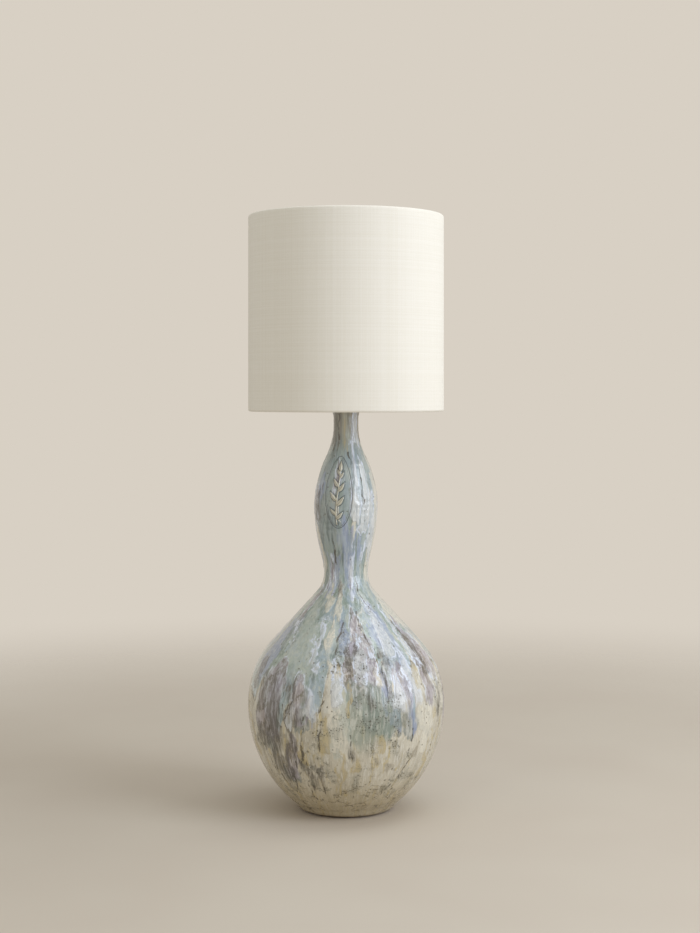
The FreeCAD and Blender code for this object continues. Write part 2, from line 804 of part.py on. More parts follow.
def make_socket_cap():
    """Brass cap: a threaded hub, a round shoulder and an upright rim."""
    hub_top_z = socket_z + s.hub_height
    rim_z = socket_z + s.socket_cap_height
    hub_bore = s.rod_radius + s.thread_gap
    hub_radius = s.rod_radius + s.hub_wall
    shoulder_r = socket_radius - s.socket_dome
    inner_dome = s.socket_dome - s.socket_skin
    outline = [
        (hub_bore, socket_z),
        (hub_radius, socket_z),
        (hub_radius, hub_top_z),
        (shoulder_r, hub_top_z),
        (socket_radius, dome_z, s.socket_dome),
        (socket_radius, rim_z),
        (socket_radius - s.socket_skin, rim_z),
        (socket_radius - s.socket_skin, dome_z),
        (shoulder_r, hub_top_z + s.socket_skin, -inner_dome),
        (hub_bore, hub_top_z + s.socket_skin),
    ]
    return turned_body("socket_cap", outline)


def cut_switch_hole(body, radius):
    hole = new_sketch(body, body.Name + "_switch_hole", "XZ_Plane")
    draw_circle(hole, 0, switch_z, radius)
    cut_pocket(body, hole, 2 * socket_radius, reverse=True)


def make_socket_shell():
    """Brass shell with a flared rim, and a hole at the front for the switch's shaft."""
    bottom = socket_z + s.socket_cap_height - s.shell_overlap
    inside = shell_radius - s.socket_skin
    flare = shell_radius + s.socket_skin
    outline = [
        (inside, bottom),
        (shell_radius, bottom),
        (shell_radius, socket_top_z - 3 * s.socket_skin),
        (flare, socket_top_z - 2 * s.socket_skin, -s.socket_skin),
        (flare, socket_top_z),
        (inside, socket_top_z),
    ]
    body = turned_body("socket_shell", outline)
    cut_switch_hole(body, s.switch_shaft_radius + 2 * s.running_gap)
    return body


def make_socket_liner():
    bottom = socket_z + s.socket_cap_height - s.shell_overlap
    top = socket_top_z - s.socket_skin
    inside = liner_radius - s.liner_skin
    body = turned_body("socket_liner", tube_outline(inside, liner_radius, bottom, top))
    cut_switch_hole(body, s.switch_shaft_radius + 3 * s.running_gap)
    return body


def make_socket_core():
    """Moulded block under the screw shell, bored at the front for the switch's shaft."""
    outline = [
        (0, core_z),
        (core_waist_radius, core_z),
        (core_waist_radius, core_flange_z),
        (core_radius, core_flange_z),
        (core_radius, core_top_z),
        (0, core_top_z),
    ]
    body = turned_body("socket_core", outline)
    bore = new_sketch(body, "switch_bore", "XZ_Plane")
    draw_circle(bore, 0, switch_z, s.switch_shaft_radius + s.thread_gap)
    cut_pocket(body, bore, socket_radius, reverse=True)
    return body


def make_screw_shell():
    inside = screw_shell_radius - s.screw_shell_skin
    window = screw_shell_radius / 2
    outline = [
        (window, core_top_z),
        (screw_shell_radius, core_top_z),
        (screw_shell_radius, screw_shell_top_z),
        (inside, screw_shell_top_z),
        (inside, core_top_z + s.screw_shell_skin),
        (window, core_top_z + s.screw_shell_skin),
    ]
    return turned_body("screw_shell", outline)


def make_centre_contact():
    """Springy brass leaf that the bulb's tip presses on."""
    leaf = s.screw_shell_skin
    foot = screw_shell_radius / 3
    tip_z = bulb_tip_z - s.running_gap
    body = new_body("centre_contact")
    sketch = new_sketch(body, "contact_leaf", "YZ_Plane")
    draw(
        sketch,
        [
            (-foot, core_top_z),
            (0, core_top_z),
            (foot / 2, tip_z - leaf),
            (foot, tip_z - leaf),
            (foot, tip_z),
            (foot / 2 - leaf, tip_z),
            (-leaf, core_top_z + leaf),
            (-foot, core_top_z + leaf),
        ],
    )
    pad_both_ways(body, sketch, foot)
    return body


def make_terminal_screws():
    """The two wire screws on the flanks of the moulded block."""
    heads = []
    for name, side in (("terminal_left", -1), ("terminal_right", 1)):
        head_part = doc.addObject("Part::Cylinder", name)
        bind(head_part, "Radius", s.terminal_radius)
        bind(head_part, "Height", s.terminal_head)
        place(
            head_part,
            x=side * core_waist_radius,
            z=(core_z + core_flange_z) / 2,
            turn=(Vector(0, 1, 0), side * 90),
        )
        heads.append(head_part)
    pair = doc.addObject("Part::Compound", "terminal_screws")
    pair.Links = heads
    return pair


# ---------------------------------------------------------------- the turn switch

knob_start = shell_radius + s.knob_gap


def make_switch_shaft():
    """Shaft from the middle of the moulded block out through the shell."""
    end = knob_start + s.knob_length / 2
    start = core_radius / 3
    chamfer = s.switch_shaft_radius / 4
    outline = [
        (0, start),
        (s.switch_shaft_radius, start),
        (s.switch_shaft_radius, end - chamfer),
        (s.switch_shaft_radius - chamfer, end),
        (0, end),
    ]
    body = turned_body("switch_shaft", outline)
    place(body, z=switch_z, turn=(Vector(1, 0, 0), 90))
    return body


def make_switch_knob():
    """Fluted turn knob with a round end."""
    bore = s.switch_shaft_radius + s.thread_gap
    end = knob_start + s.knob_length
    bore_end = knob_start + s.knob_length / 2 + s.running_gap
    round_end = s.knob_radius / 3
    collar = s.knob_radius - 2 * s.knob_flute
    outline = [
        (bore, knob_start),
        (collar, knob_start),
        (collar, knob_start + 3 * s.knob_flute),
        (s.knob_radius, knob_start + 5 * s.knob_flute),
        (s.knob_radius, end - round_end),
        (s.knob_radius - round_end, end, round_end),
        (0, end),
        (0, bore_end),
        (bore, bore_end),
    ]
    body = turned_body("switch_knob", outline)
    flute = new_sketch(body, "knob_flute", "XY_Plane", knob_start + 5 * s.knob_flute)
    draw_circle(flute, s.knob_radius, 0, s.knob_flute)
    first = cut_pocket(body, flute, s.knob_length, reverse=True)
    repeat_around(body, [first], FLUTE_COUNT)
    place(body, z=switch_z, turn=(Vector(1, 0, 0), 90))
    return body


# ---------------------------------------------------------------- the bulb

glass_neck = s.bulb_base_radius - s.bulb_base_skin - s.slip_gap


def make_bulb_glass():
    rise, cos, sin = s_curve(s.bulb_radius, s.bulb_radius, glass_neck, s.bulb_sweep)
    bottom = bulb_base_top_z - s.glass_tuck
    round_z = bulb_base_top_z + rise
    inner = s.bulb_radius - s.glass
    outline = [
        (glass_neck - s.glass, bottom),
        (glass_neck, bottom),
        (glass_neck, bulb_base_top_z),
        (s.bulb_radius * cos, round_z - s.bulb_radius * sin, -s.bulb_sweep),
        (s.bulb_radius, round_z, s.bulb_radius),
        (0, round_z + s.bulb_radius, s.bulb_radius),
        (0, round_z + inner),
        (inner, round_z, -inner),
        (inner * cos, round_z - inner * sin, -inner),
        (glass_neck - s.glass, bulb_base_top_z, s.bulb_sweep + s.glass),
    ]
    return turned_body("bulb_glass", outline)


def make_bulb_base():
    """Metal screw base: a cup with a sloping bottom and a hole for the insulator."""
    slope = s.bulb_base_radius / 4
    skin = s.bulb_base_skin
    shoulder = s.bulb_base_radius - slope
    hole = shoulder - slope
    outline = [
        (hole, bulb_base_z),
        (shoulder, bulb_base_z),
        (s.bulb_base_radius, bulb_base_z + slope),
        (s.bulb_base_radius, bulb_base_top_z),
        (s.bulb_base_radius - skin, bulb_base_top_z),
        (s.bulb_base_radius - skin, bulb_base_z + slope + skin),
        (shoulder - skin / 2, bulb_base_z + skin),
        (hole, bulb_base_z + skin),
    ]
    return turned_body("bulb_base", outline)


def make_bulb_insulator():
    shoulder = s.bulb_base_radius - s.bulb_base_radius / 4
    tip_top_z = bulb_tip_z + s.bulb_tip_height / 3
    outline = [
        (0, tip_top_z),
        (shoulder / 2, tip_top_z),
        (shoulder, bulb_base_z),
        (0, bulb_base_z),
    ]
    return turned_body("bulb_insulator", outline)


def make_bulb_contact():
    thickness = s.bulb_tip_height / 3
    radius = s.bulb_base_radius / 4
    outline = [
        (0, bulb_tip_z),
        (radius - thickness, bulb_tip_z),
        (radius, bulb_tip_z + thickness, thickness),
        (0, bulb_tip_z + thickness),
    ]
    return turned_body("bulb_contact", outline)


# ---------------------------------------------------------------- the shade

fold_radius = (s.fabric + s.backing + 2 * s.ring_wire + 2 * s.slip_gap + s.fabric) / 2
fold_r = s.shade_radius - fold_radius
ring_r = s.shade_radius - s.fabric - s.backing - s.slip_gap - s.ring_wire
top_ring_z = shade_top_z - fold_radius
bottom_ring_z = shade_bottom_z + fold_radius


def make_shade_fabric():
    """Linen cylinder whose edges are rolled over the two wire rings and turned in."""
    inner = fold_radius - s.fabric
    flap_out = fold_r - inner
    flap_in = fold_r - fold_radius
    outline = [
        (s.shade_radius, bottom_ring_z),
        (s.shade_radius, top_ring_z),
        (fold_r, shade_top_z, fold_radius),
        (flap_in, top_ring_z, fold_radius),
        (flap_in, shade_top_z - s.hem),
        (flap_out, shade_top_z - s.hem),
        (flap_out, top_ring_z),
        (fold_r, top_ring_z + inner, -inner),
        (fold_r + inner, top_ring_z, -inner),
        (fold_r + inner, bottom_ring_z),
        (fold_r, bottom_ring_z - inner, -inner),
        (flap_out, bottom_ring_z, -inner),
        (flap_out, shade_bottom_z + s.hem),
        (flap_in, shade_bottom_z + s.hem),
        (flap_in, bottom_ring_z),
        (fold_r, shade_bottom_z, fold_radius),
    ]
    body = new_body("shade_fabric")
    closing_arc = (s.shade_radius, bottom_ring_z, fold_radius)
    revolve(body, [closing_arc] + outline[1:])
    doc.recompute()
    notch = new_sketch(body, "arm_notch", "XZ_Plane", -fold_r)
    half = s.ring_wire + s.notch_gap
    top = top_ring_z + s.ring_wire + s.running_gap
    bottom = shade_top_z - s.hem - s.fabric
    draw(notch, [(-half, bottom), (half, bottom), (half, top), (-half, top)])
    first = cut_pocket(body, notch, 2 * fold_radius, reverse=True)
    repeat_around(body, [first], ARM_COUNT)
    return body


def make_shade_backing():
    outside = s.shade_radius - s.fabric
    outline = tube_outline(outside - s.backing, outside, bottom_ring_z, top_ring_z)
    return turned_body("shade_backing", outline)


def make_ring(name, height):
    ring = doc.addObject("Part::Torus", name)
    bind(ring, "Radius1", ring_r)
    bind(ring, "Radius2", s.ring_wire)
    place(ring, z=height)
    return ring


def make_shade_fitter():
    """The fitter: a washer in the middle and arms that step up to the top ring."""
    washer_top = fitter_z + s.fitter_washer_thickness
    arm_z = fitter_z
    hole = s.stud_radius + s.running_gap
    body = new_body("shade_fitter")
    washer = revolve(body, tube_outline(hole, s.fitter_washer_radius, fitter_z, washer_top))
    washer.Label = "fitter_washer"
    outer_end = ring_r - s.ring_wire
    upright = outer_end - s.arm_setback
    inner_end = s.fitter_washer_radius - s.ring_wire
    path = new_sketch(body, "arm_path", "YZ_Plane")
    draw(
        path,
        [
            (outer_end, top_ring_z),
            (upright + s.arm_bend, top_ring_z),
            (upright, top_ring_z - s.arm_bend, s.arm_bend),
            (upright, arm_z + s.arm_bend),
            (upright - s.arm_bend, arm_z, -s.arm_bend),
            (inner_end, arm_z),
        ],
        closed=False,
    )
    profile = new_sketch(body, "arm_section", "XZ_Plane", -outer_end)
    draw_circle(profile, 0, top_ring_z, s.ring_wire)
    arm = pipe(body, path, profile)
    repeat_around(body, [arm], ARM_COUNT)
    return body


# ---------------------------------------------------------------- the finial


def make_finial():
    """Turned brass ball on a small foot, with a blind threaded hole."""
    bore = s.stud_radius + s.running_gap
    bore_top = seat_z + s.stud_length + s.running_gap
    ball_z = finial_z + s.finial_height - s.finial_ball_radius
    neck = bore + s.finial_wall
    foot = neck + s.finial_foot
    ball = s.finial_ball_radius
    ball_start = ball_z - root(ball * ball - neck * neck)
    foot_top = finial_z + s.finial_foot_height
    outline = [
        (bore, finial_z),
        (foot, finial_z),
        (foot, foot_top),
        (neck, foot_top + s.finial_foot, -s.finial_foot),
        (neck, ball_start),
        (ball, ball_z, ball),
        (0, ball_z + ball, ball),
        (0, bore_top),
        (bore, bore_top),
    ]
    return turned_body("finial", outline)


# ---------------------------------------------------------------- build, check and write


def build_all():
    return [
        make_gourd_body(),
        make_cord_bush(),
        make_felt_pad(),
        make_lamp_rod(),
        make_washer("base_washer", s.base_washer_radius, floor_under_z, s.washer_thickness),
        make_washer(
            "spring_washer",
            s.nut_flats / 2,
            floor_under_z - s.washer_thickness,
            s.spring_washer_thickness,
        ),
        make_nut("base_nut", base_nut_top_z - s.nut_thickness),
        make_neck_cap(),
        make_nut("neck_nut", cap_top_z),
        make_harp_saddle(),
        make_harp(),
        make_harp_seat(),
        make_sleeve("sleeve_left", -1),
        make_sleeve("sleeve_right", 1),
        make_socket_cap(),
        make_socket_shell(),
        make_socket_liner(),
        make_socket_core(),
        make_screw_shell(),
        make_centre_contact(),
        make_terminal_screws(),
        make_switch_shaft(),
        make_switch_knob(),
        make_bulb_glass(),
        make_bulb_base(),
        make_bulb_insulator(),
        make_bulb_contact(),
        make_shade_fabric(),
        make_shade_backing(),
        make_ring("shade_top_ring", top_ring_z),
        make_ring("shade_bottom_ring", bottom_ring_z),
        make_shade_fitter(),
        make_finial(),
    ]


def check_everything(pieces):
    """Stops before anything is written if a feature failed or a piece isn't a sound solid."""
    for thing in doc.Objects:
        if "Invalid" in thing.State or "Error" in thing.State:
            raise RuntimeError(f"{thing.Name} failed: {thing.State}")
    for piece in pieces:
        shape = piece.Shape
        if shape.isNull() or not shape.isValid() or not shape.Solids:
            raise RuntimeError(f"{piece.Label} is not a valid solid")
        if min(solid.Volume for solid in shape.Solids) <= 0:
            raise RuntimeError(f"{piece.Label} has a solid with no volume")


def main():
    pieces = build_all()
    doc.recompute()
    check_everything(pieces)
    os.makedirs("parts", exist_ok=True)
    for piece in pieces:
        piece.Shape.exportStep(os.path.join("parts", piece.Label + ".step"))
        box = piece.Shape.optimalBoundingBox()
        print(
            f"{piece.Label}: {len(piece.Shape.Solids)} solid, {piece.Shape.Volume:.0f} mm3, "
            f"z {box.ZMin:.2f} to {box.ZMax:.2f}"
        )


main()
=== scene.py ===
# %% [markdown]
# # A double gourd table lamp
#
# The lamp is a hollow stoneware gourd with a runny glaze, and a straight linen shade that stands on
# a brass harp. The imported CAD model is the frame: it says where every piece is and how large it is.
# This lesson gives each piece its surface. The pieces whose shape follows a rule are made again with
# Geometry Nodes, from the same cross-sections, and the rest keep their CAD mesh and get a material.

# %% Load the frame
import json
import math
from contextlib import contextmanager

import bmesh
import bpy
import numpy as np
from mathutils import Matrix, Vector


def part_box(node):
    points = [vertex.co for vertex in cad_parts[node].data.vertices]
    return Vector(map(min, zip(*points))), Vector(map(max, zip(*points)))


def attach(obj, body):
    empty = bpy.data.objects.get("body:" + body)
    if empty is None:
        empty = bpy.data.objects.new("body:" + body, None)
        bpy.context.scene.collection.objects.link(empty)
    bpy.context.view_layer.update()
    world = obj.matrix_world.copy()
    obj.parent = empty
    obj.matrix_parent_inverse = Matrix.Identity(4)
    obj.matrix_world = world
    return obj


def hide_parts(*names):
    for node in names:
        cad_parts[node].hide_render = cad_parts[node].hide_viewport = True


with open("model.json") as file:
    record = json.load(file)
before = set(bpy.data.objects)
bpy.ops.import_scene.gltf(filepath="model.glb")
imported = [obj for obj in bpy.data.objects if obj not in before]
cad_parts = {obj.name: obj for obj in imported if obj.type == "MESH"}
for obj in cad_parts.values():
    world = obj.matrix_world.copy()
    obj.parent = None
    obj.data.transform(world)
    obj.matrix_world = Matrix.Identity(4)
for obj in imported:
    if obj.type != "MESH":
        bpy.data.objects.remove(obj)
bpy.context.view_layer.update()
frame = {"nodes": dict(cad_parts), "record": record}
nodes = frame["nodes"]
scene = bpy.context.scene
scene.view_settings.view_transform = "Standard"
MM = 0.001
TOUCHING = 1e-6


def put_in_scene(name, data):
    item = bpy.data.objects.new(name, data)
    scene.collection.objects.link(item)
    return item


# %% [markdown]
# ## Camera
#
# The lamp is seen from about two metres away, by a camera that looks level with its eye a little
# above the middle of the lamp. A level camera keeps the upright lines upright. The lamp is moved in
# the frame by the lens shift, as a view camera does it, and not by tilting the camera.

# %% Camera
PHOTO_HEIGHT = 933  # pixels
EYE_HEIGHT = 0.538
EYE_DISTANCE = 2.117
LENS = 62.8
HORIZON_ROW = 393  # pixels from the top of the picture
AXIS_COLUMN = 346
PHOTO_MIDDLE = (350, 466.5)


def make_camera():
    data = bpy.data.cameras.new("camera")
    data.lens = LENS
    data.sensor_width = 36
    data.shift_x = (PHOTO_MIDDLE[0] - AXIS_COLUMN) / PHOTO_HEIGHT
    data.shift_y = (HORIZON_ROW - PHOTO_MIDDLE[1]) / PHOTO_HEIGHT
    data.clip_end = 60
    camera = put_in_scene("camera", data)
    camera.location = (0, -EYE_DISTANCE, EYE_HEIGHT)
    camera.rotation_euler = (math.radians(90), 0, 0)
    return camera


scene.camera = make_camera()
print("camera shift:", [round(v, 4) for v in (scene.camera.data.shift_x, scene.camera.data.shift_y)])

# %% [markdown]
# ## Wiring nodes
#
# Shaders and Geometry Nodes are both trees of nodes. A few short helpers make them readable: one adds
# a node and fills its sockets, and the others name what comes up again and again. Sums are written
# as sums: a node's output is a Wire, and each sign between wires adds a Math node. Colours are
# written as they look on a screen, and they are turned into linear light here.

# %% Node helpers
def linear(tint):
    """A colour as it looks on a screen, such as "#d8d0c4", in linear light."""
    shares = [int(tint[i:i + 2], 16) / 255 for i in (1, 3, 5)]
    return (*[v / 12.92 if v <= 0.04045 else ((v + 0.055) / 1.055) ** 2.4 for v in shares], 1.0)


class Wire:
    """A node's output. Sums of wires are written as sums, and each sign adds a Math node."""

    def __init__(self, socket):
        self.socket = socket
        self.tree = socket.id_data

    def __add__(self, other):
        return calc("ADD", self, other)

    def __sub__(self, other):
        return calc("SUBTRACT", self, other)

    def __rsub__(self, other):
        return calc("SUBTRACT", other, self)

    def __mul__(self, other):
        return calc("MULTIPLY", self, other)

    def __truediv__(self, other):
        return calc("DIVIDE", self, other)


class Wires:
    """A node's outputs as wires, by name or number."""

    def __init__(self, sockets):
        self.sockets = sockets

    def __getitem__(self, key):
        return Wire(self.sockets[key])


def join(source, target):
    """Gives a node's input a wire, or else a number or a colour."""
    if isinstance(source, Wire):
        source.tree.links.new(source.socket, target)
    elif isinstance(source, str) and source.startswith("#"):
        target.default_value = linear(source)
    else:
        target.default_value = source


def new_node(tree, kind, inputs=None, **settings):
    """Adds a node to a tree. A kind without Node in it is a shader node's."""
    node = tree.nodes.new(kind if "Node" in kind else "ShaderNode" + kind)
    for name, value in settings.items():
        setattr(node, name, value)
    for key, value in (inputs or {}).items():
        join(value, node.inputs[key])
    return node


def add(tree, kind, inputs=None, **settings):
    return Wires(new_node(tree, kind, inputs, **settings).outputs)


def wired(kind, inputs, **settings):
    """Adds a node to the tree of the wires that it is given."""
    tree = next(value.tree for value in inputs.values() if isinstance(value, Wire))
    return add(tree, kind, inputs, **settings)


def calc(operation, *values, clamp=False):
    return wired("Math", dict(enumerate(values)), operation=operation, use_clamp=clamp)[0]


def vector_calc(operation, *values, **named):
    return wired("VectorMath", {**dict(enumerate(values)), **named}, operation=operation)[0]


def most(first, *others):
    """The highest of several values."""
    for other in others:
        first = calc("MAXIMUM", first, other)
    return first


def split(vector):
    return wired("SeparateXYZ", {0: vector})


def vector_of(x=0.0, y=0.0, z=0.0):
    return wired("CombineXYZ", {0: x, 1: y, 2: z})[0]


def fade(value, low, high, to_low=0.0, to_high=1.0):
    """A smooth step from to_low, at low, to to_high, at high."""
    sockets = {"Value": value, "From Min": low, "From Max": high, "To Min": to_low, "To Max": to_high}
    return wired("MapRange", sockets, interpolation_type="SMOOTHSTEP")["Result"]


def blend(amount, under, over):
    return wired("Mix", {0: amount, 6: under, 7: over}, data_type="RGBA")[2]


def layered(tone, *layers):
    """Lays tints over a tone, each as far as its mask says."""
    for amount, tint in layers:
        tone = blend(amount, tone, tint)
    return tone


def noise(vector, scale, detail=3.0, roughness=0.55, distortion=0.0):
    return wired("TexNoise", {"Vector": vector, "Scale": scale, "Detail": detail, "Roughness": roughness,
                              "Distortion": distortion})["Fac"]


def new_group(name, inputs, outputs, kind="ShaderNodeTree"):
    """A node group. An input is given its value, or its kind where it has none."""
    tree = bpy.data.node_groups.new(name, kind)
    for label, value in inputs.items():
        socket_kind = {float: "Float", int: "Int"}.get(type(value), value)
        socket = tree.interface.new_socket(label, in_out="INPUT", socket_type="NodeSocket" + socket_kind)
        if not isinstance(value, str):
            socket.default_value = value
    for label, socket_kind in outputs.items():
        tree.interface.new_socket(label, in_out="OUTPUT", socket_type="NodeSocket" + socket_kind)
    given = Wires(tree.nodes.new("NodeGroupInput").outputs)
    return tree, given, tree.nodes.new("NodeGroupOutput").inputs


def use(group, **inputs):
    return wired("Group", inputs, node_tree=group)


def dress(shader, **values):
    """Sets a Principled shader's inputs, such as Base_Color."""
    for label, value in values.items():
        join(value, shader.inputs[label.replace("_", " ")])


def new_material(name, **even_values):
    """A material, its place on the object as a wire, and its Principled shader.

    Even values are set on the shader's own sockets.
    """
    material = bpy.data.materials.new(name)
    material.use_nodes = True
    tree = material.node_tree
    tree.nodes.clear()
    output = tree.nodes.new("ShaderNodeOutputMaterial")
    shader = tree.nodes.new("ShaderNodeBsdfPrincipled")
    dress(shader, **even_values)
    tree.links.new(shader.outputs[0], output.inputs["Surface"])
    return material, add(tree, "TexCoord")["Object"], shader


def bumped(shader, height, depth, strength=1.0):
    """Leans the shader's normal by a height from 0 to 1, which stands for depth metres."""
    dress(shader, Normal=wired("Bump", {"Strength": strength, "Distance": depth, "Height": height})[0])


print("middle grey in linear light:", round(linear("#808080")[0], 3))

# %% [markdown]
# ## Floor, room and light
#
# The light in such a picture is a large soft window, to the right of the camera and in front of the
# lamp, with pale walls that send light back from all round. An area lamp is the window, a weak one is
# the wall on the left, and the world's colour does the rest. The floor is pale and plain. Further out
# it turns transparent, so that it ends in the world's colour with no line behind the lamp. Seen from
# below it is transparent too, and it has a round hole under the foot, which lets some light in there,
# so that the underside of the lamp can be looked at.

# %% Room
ROOM = "#d8d0c4"
FLOOR = "#cec5b6"
AMBIENT_STRENGTH = 0.545
FLOOR_HALF = 6.0
FLOOR_LEVEL = -0.2 * MM
FLOOR_FADE = (0.5, 1.9)
FLOOR_HOLE = 0.05


def make_world():
    world = bpy.data.worlds.new("room")
    world.use_nodes = True
    tree = world.node_tree
    tree.nodes.clear()
    rays = add(tree, "LightPath")
    seen = most(rays["Is Camera Ray"], rays["Is Transmission Ray"], rays["Is Glossy Ray"])
    ambient = add(tree, "Background", {"Color": "#faf7f2", "Strength": AMBIENT_STRENGTH})[0]
    backdrop = add(tree, "Background", {"Color": ROOM, "Strength": 1.0})[0]
    mixed = wired("MixShader", {0: seen, 1: ambient, 2: backdrop})[0]
    join(mixed, new_node(tree, "OutputWorld").inputs["Surface"])
    scene.world = world


def make_floor():
    mesh = bpy.data.meshes.new("floor")
    corners = [(x * FLOOR_HALF, y * FLOOR_HALF, FLOOR_LEVEL)
               for x, y in ((-1, -1), (1, -1), (1, 1), (-1, 1))]
    mesh.from_pydata(corners, [], [(0, 1, 2, 3)])
    floor = put_in_scene("floor", mesh)
    material, place, shader = new_material("floor", Roughness=0.9, Specular_IOR_Level=0.1)
    dress(shader, Base_Color=blend(fade(noise(place, 3.0, 2.0), 0.3, 0.7), FLOOR, "#cbc1b2"))
    away = wired("VectorMath", {0: place}, operation="LENGTH")["Value"]
    from_below = add(place.tree, "NewGeometry")["Backfacing"]
    amount = most(fade(away, *FLOOR_FADE), from_below, calc("LESS_THAN", away, FLOOR_HOLE))
    clear = add(place.tree, "BsdfTransparent")[0]
    mixed = wired("MixShader", {0: amount, 1: Wire(shader.outputs[0]), 2: clear})[0]
    join(mixed, shader.outputs[0].links[0].to_node.inputs["Surface"])
    mesh.materials.append(material)


def make_lamp(name, place, target, size, power, tint):
    data = bpy.data.lights.new(name, "AREA")
    data.shape = "RECTANGLE"
    data.size, data.size_y = size
    data.energy = power
    data.color = tint
    lamp = put_in_scene(name, data)
    lamp.location = place
    lamp.rotation_euler = (Vector(target) - Vector(place)).to_track_quat("-Z", "Y").to_euler()


make_world()
make_floor()
make_lamp("window", (1.66, -0.98, 1.05), (0, 0, 0.40), (1.1, 1.6), 25.5, (0.84, 0.89, 1.0))
make_lamp("left_wall", (-1.6, -1.3, 0.9), (0, 0, 0.42), (1.6, 1.8), 3.4, (1.0, 0.97, 0.92))
make_lamp("ceiling", (0.1, -0.2, 2.3), (0, 0, 0.40), (1.8, 1.8), 4, (0.93, 0.96, 1.0))
make_lamp("skylight", (0.8, 0.1, 2.1), (0, 0, 0.30), (0.9, 1.0), 7, (0.90, 0.95, 1.0))

# %% [markdown]
# ## Cross-sections from the frame
#
# The gourd, the linen, the felt and the bulb's screw base are all turned forms: one cross-section
# carried round an axis. The CAD mesh holds that cross-section on its seam, in the plane y = 0. Its
# corners are walked in order, and rows are set along them with a curve through the corners, so that
# the new surface is as smooth as the real one and not as faceted as the CAD mesh.

# %% Walk a seam and set rows along it
SHARP_TURN = 35.0  # degrees
FAR_LONGER = 3  # times the length of the stretch beside it
NEAR_AXIS = 0.1 * MM


def seam_of(name):
    """The corners of a turned CAD piece's cross-section, in order, as (radius, height) in metres."""
    mesh = bmesh.new()
    mesh.from_mesh(nodes[name].data)
    bmesh.ops.remove_doubles(mesh, verts=mesh.verts, dist=TOUCHING)

    def on_seam(corner):
        return abs(corner.co.y) < TOUCHING and corner.co.x > NEAR_AXIS

    links = {}
    for edge in mesh.edges:
        first, second = edge.verts
        if on_seam(first) and on_seam(second):
            links.setdefault(first, []).append(second)
            links.setdefault(second, []).append(first)
    start = min(links, key=lambda corner: (round(corner.co.z, 6), -corner.co.x))
    order = [start, max(links[start], key=lambda corner: corner.co.x)]
    while True:
        onward = [c for c in links[order[-1]] if c is not order[-2]]
        if not onward or onward[0] is start:
            break
        order.append(onward[0])
    corners = np.array([(c.co.x, c.co.z) for c in order])
    mesh.free()
    return corners


def rows_along(corners, spacing):
    """Rows on a smooth closed line through the corners. spacing(radius, height) is in metres."""
    ahead = np.roll(corners, -1, 0) - corners
    length = np.linalg.norm(ahead, axis=1)
    way = ahead / length[:, None]

    def tangent(here, beside):
        """The line's direction where a stretch meets the one beside it."""
        corner = math.degrees(math.acos(np.clip(way[here] @ way[beside], -1, 1)))
        if corner > SHARP_TURN or length[here] > FAR_LONGER * length[beside]:
            return way[here]
        if length[beside] > FAR_LONGER * length[here]:
            return way[beside]
        mean = way[here] * length[beside] + way[beside] * length[here]
        return mean / np.linalg.norm(mean)

    rows = []
    for i, start in enumerate(corners):
        after = (i + 1) % len(corners)
        leaving, arriving = tangent(i, i - 1), tangent(i, after)
        steps = max(1, round(length[i] / spacing(*(start + ahead[i] / 2))))
        for t in np.arange(steps) / steps:
            near, out = 2 * t**3 - 3 * t**2 + 1, (t**3 - 2 * t**2 + t) * length[i]
            far, back = 3 * t**2 - 2 * t**3, (t**3 - t**2) * length[i]
            rows.append(near * start + out * leaving + far * corners[after] + back * arriving)
    return np.array(rows)


def thin_rows(corners, least):
    """Leaves out corners that are nearer than least to the one before, as in small fillets."""
    kept = [corners[0]]
    for corner in corners[1:]:
        if np.linalg.norm(corner - kept[-1]) >= least:
            kept.append(corner)
    return np.array(kept)


gourd_seam = seam_of("gourd_body")
print("gourd's cross-section:", len(gourd_seam), "corners")

# %% [markdown]
# ## A turned form, in Geometry Nodes
#
# A grid has one row for each corner of the cross-section and one column for each step round the axis.
# Set Position moves each point of the grid to its corner, turned about Z. A screw thread is the same
# form with a radius that rises and falls along a helix, so the tree has inputs for that too. The
# cross-section's Y isn't used for a place, so it carries the length along the section, and the tree
# turns it into a UV map in metres round and along, which cloth needs for its weave.

# %% The tree of a turned form
def in_use(sockets, name=None):
    """The socket that is in use, on a node that has one for each kind of data."""
    return next(s for s in sockets if s.enabled and name in (None, s.name))


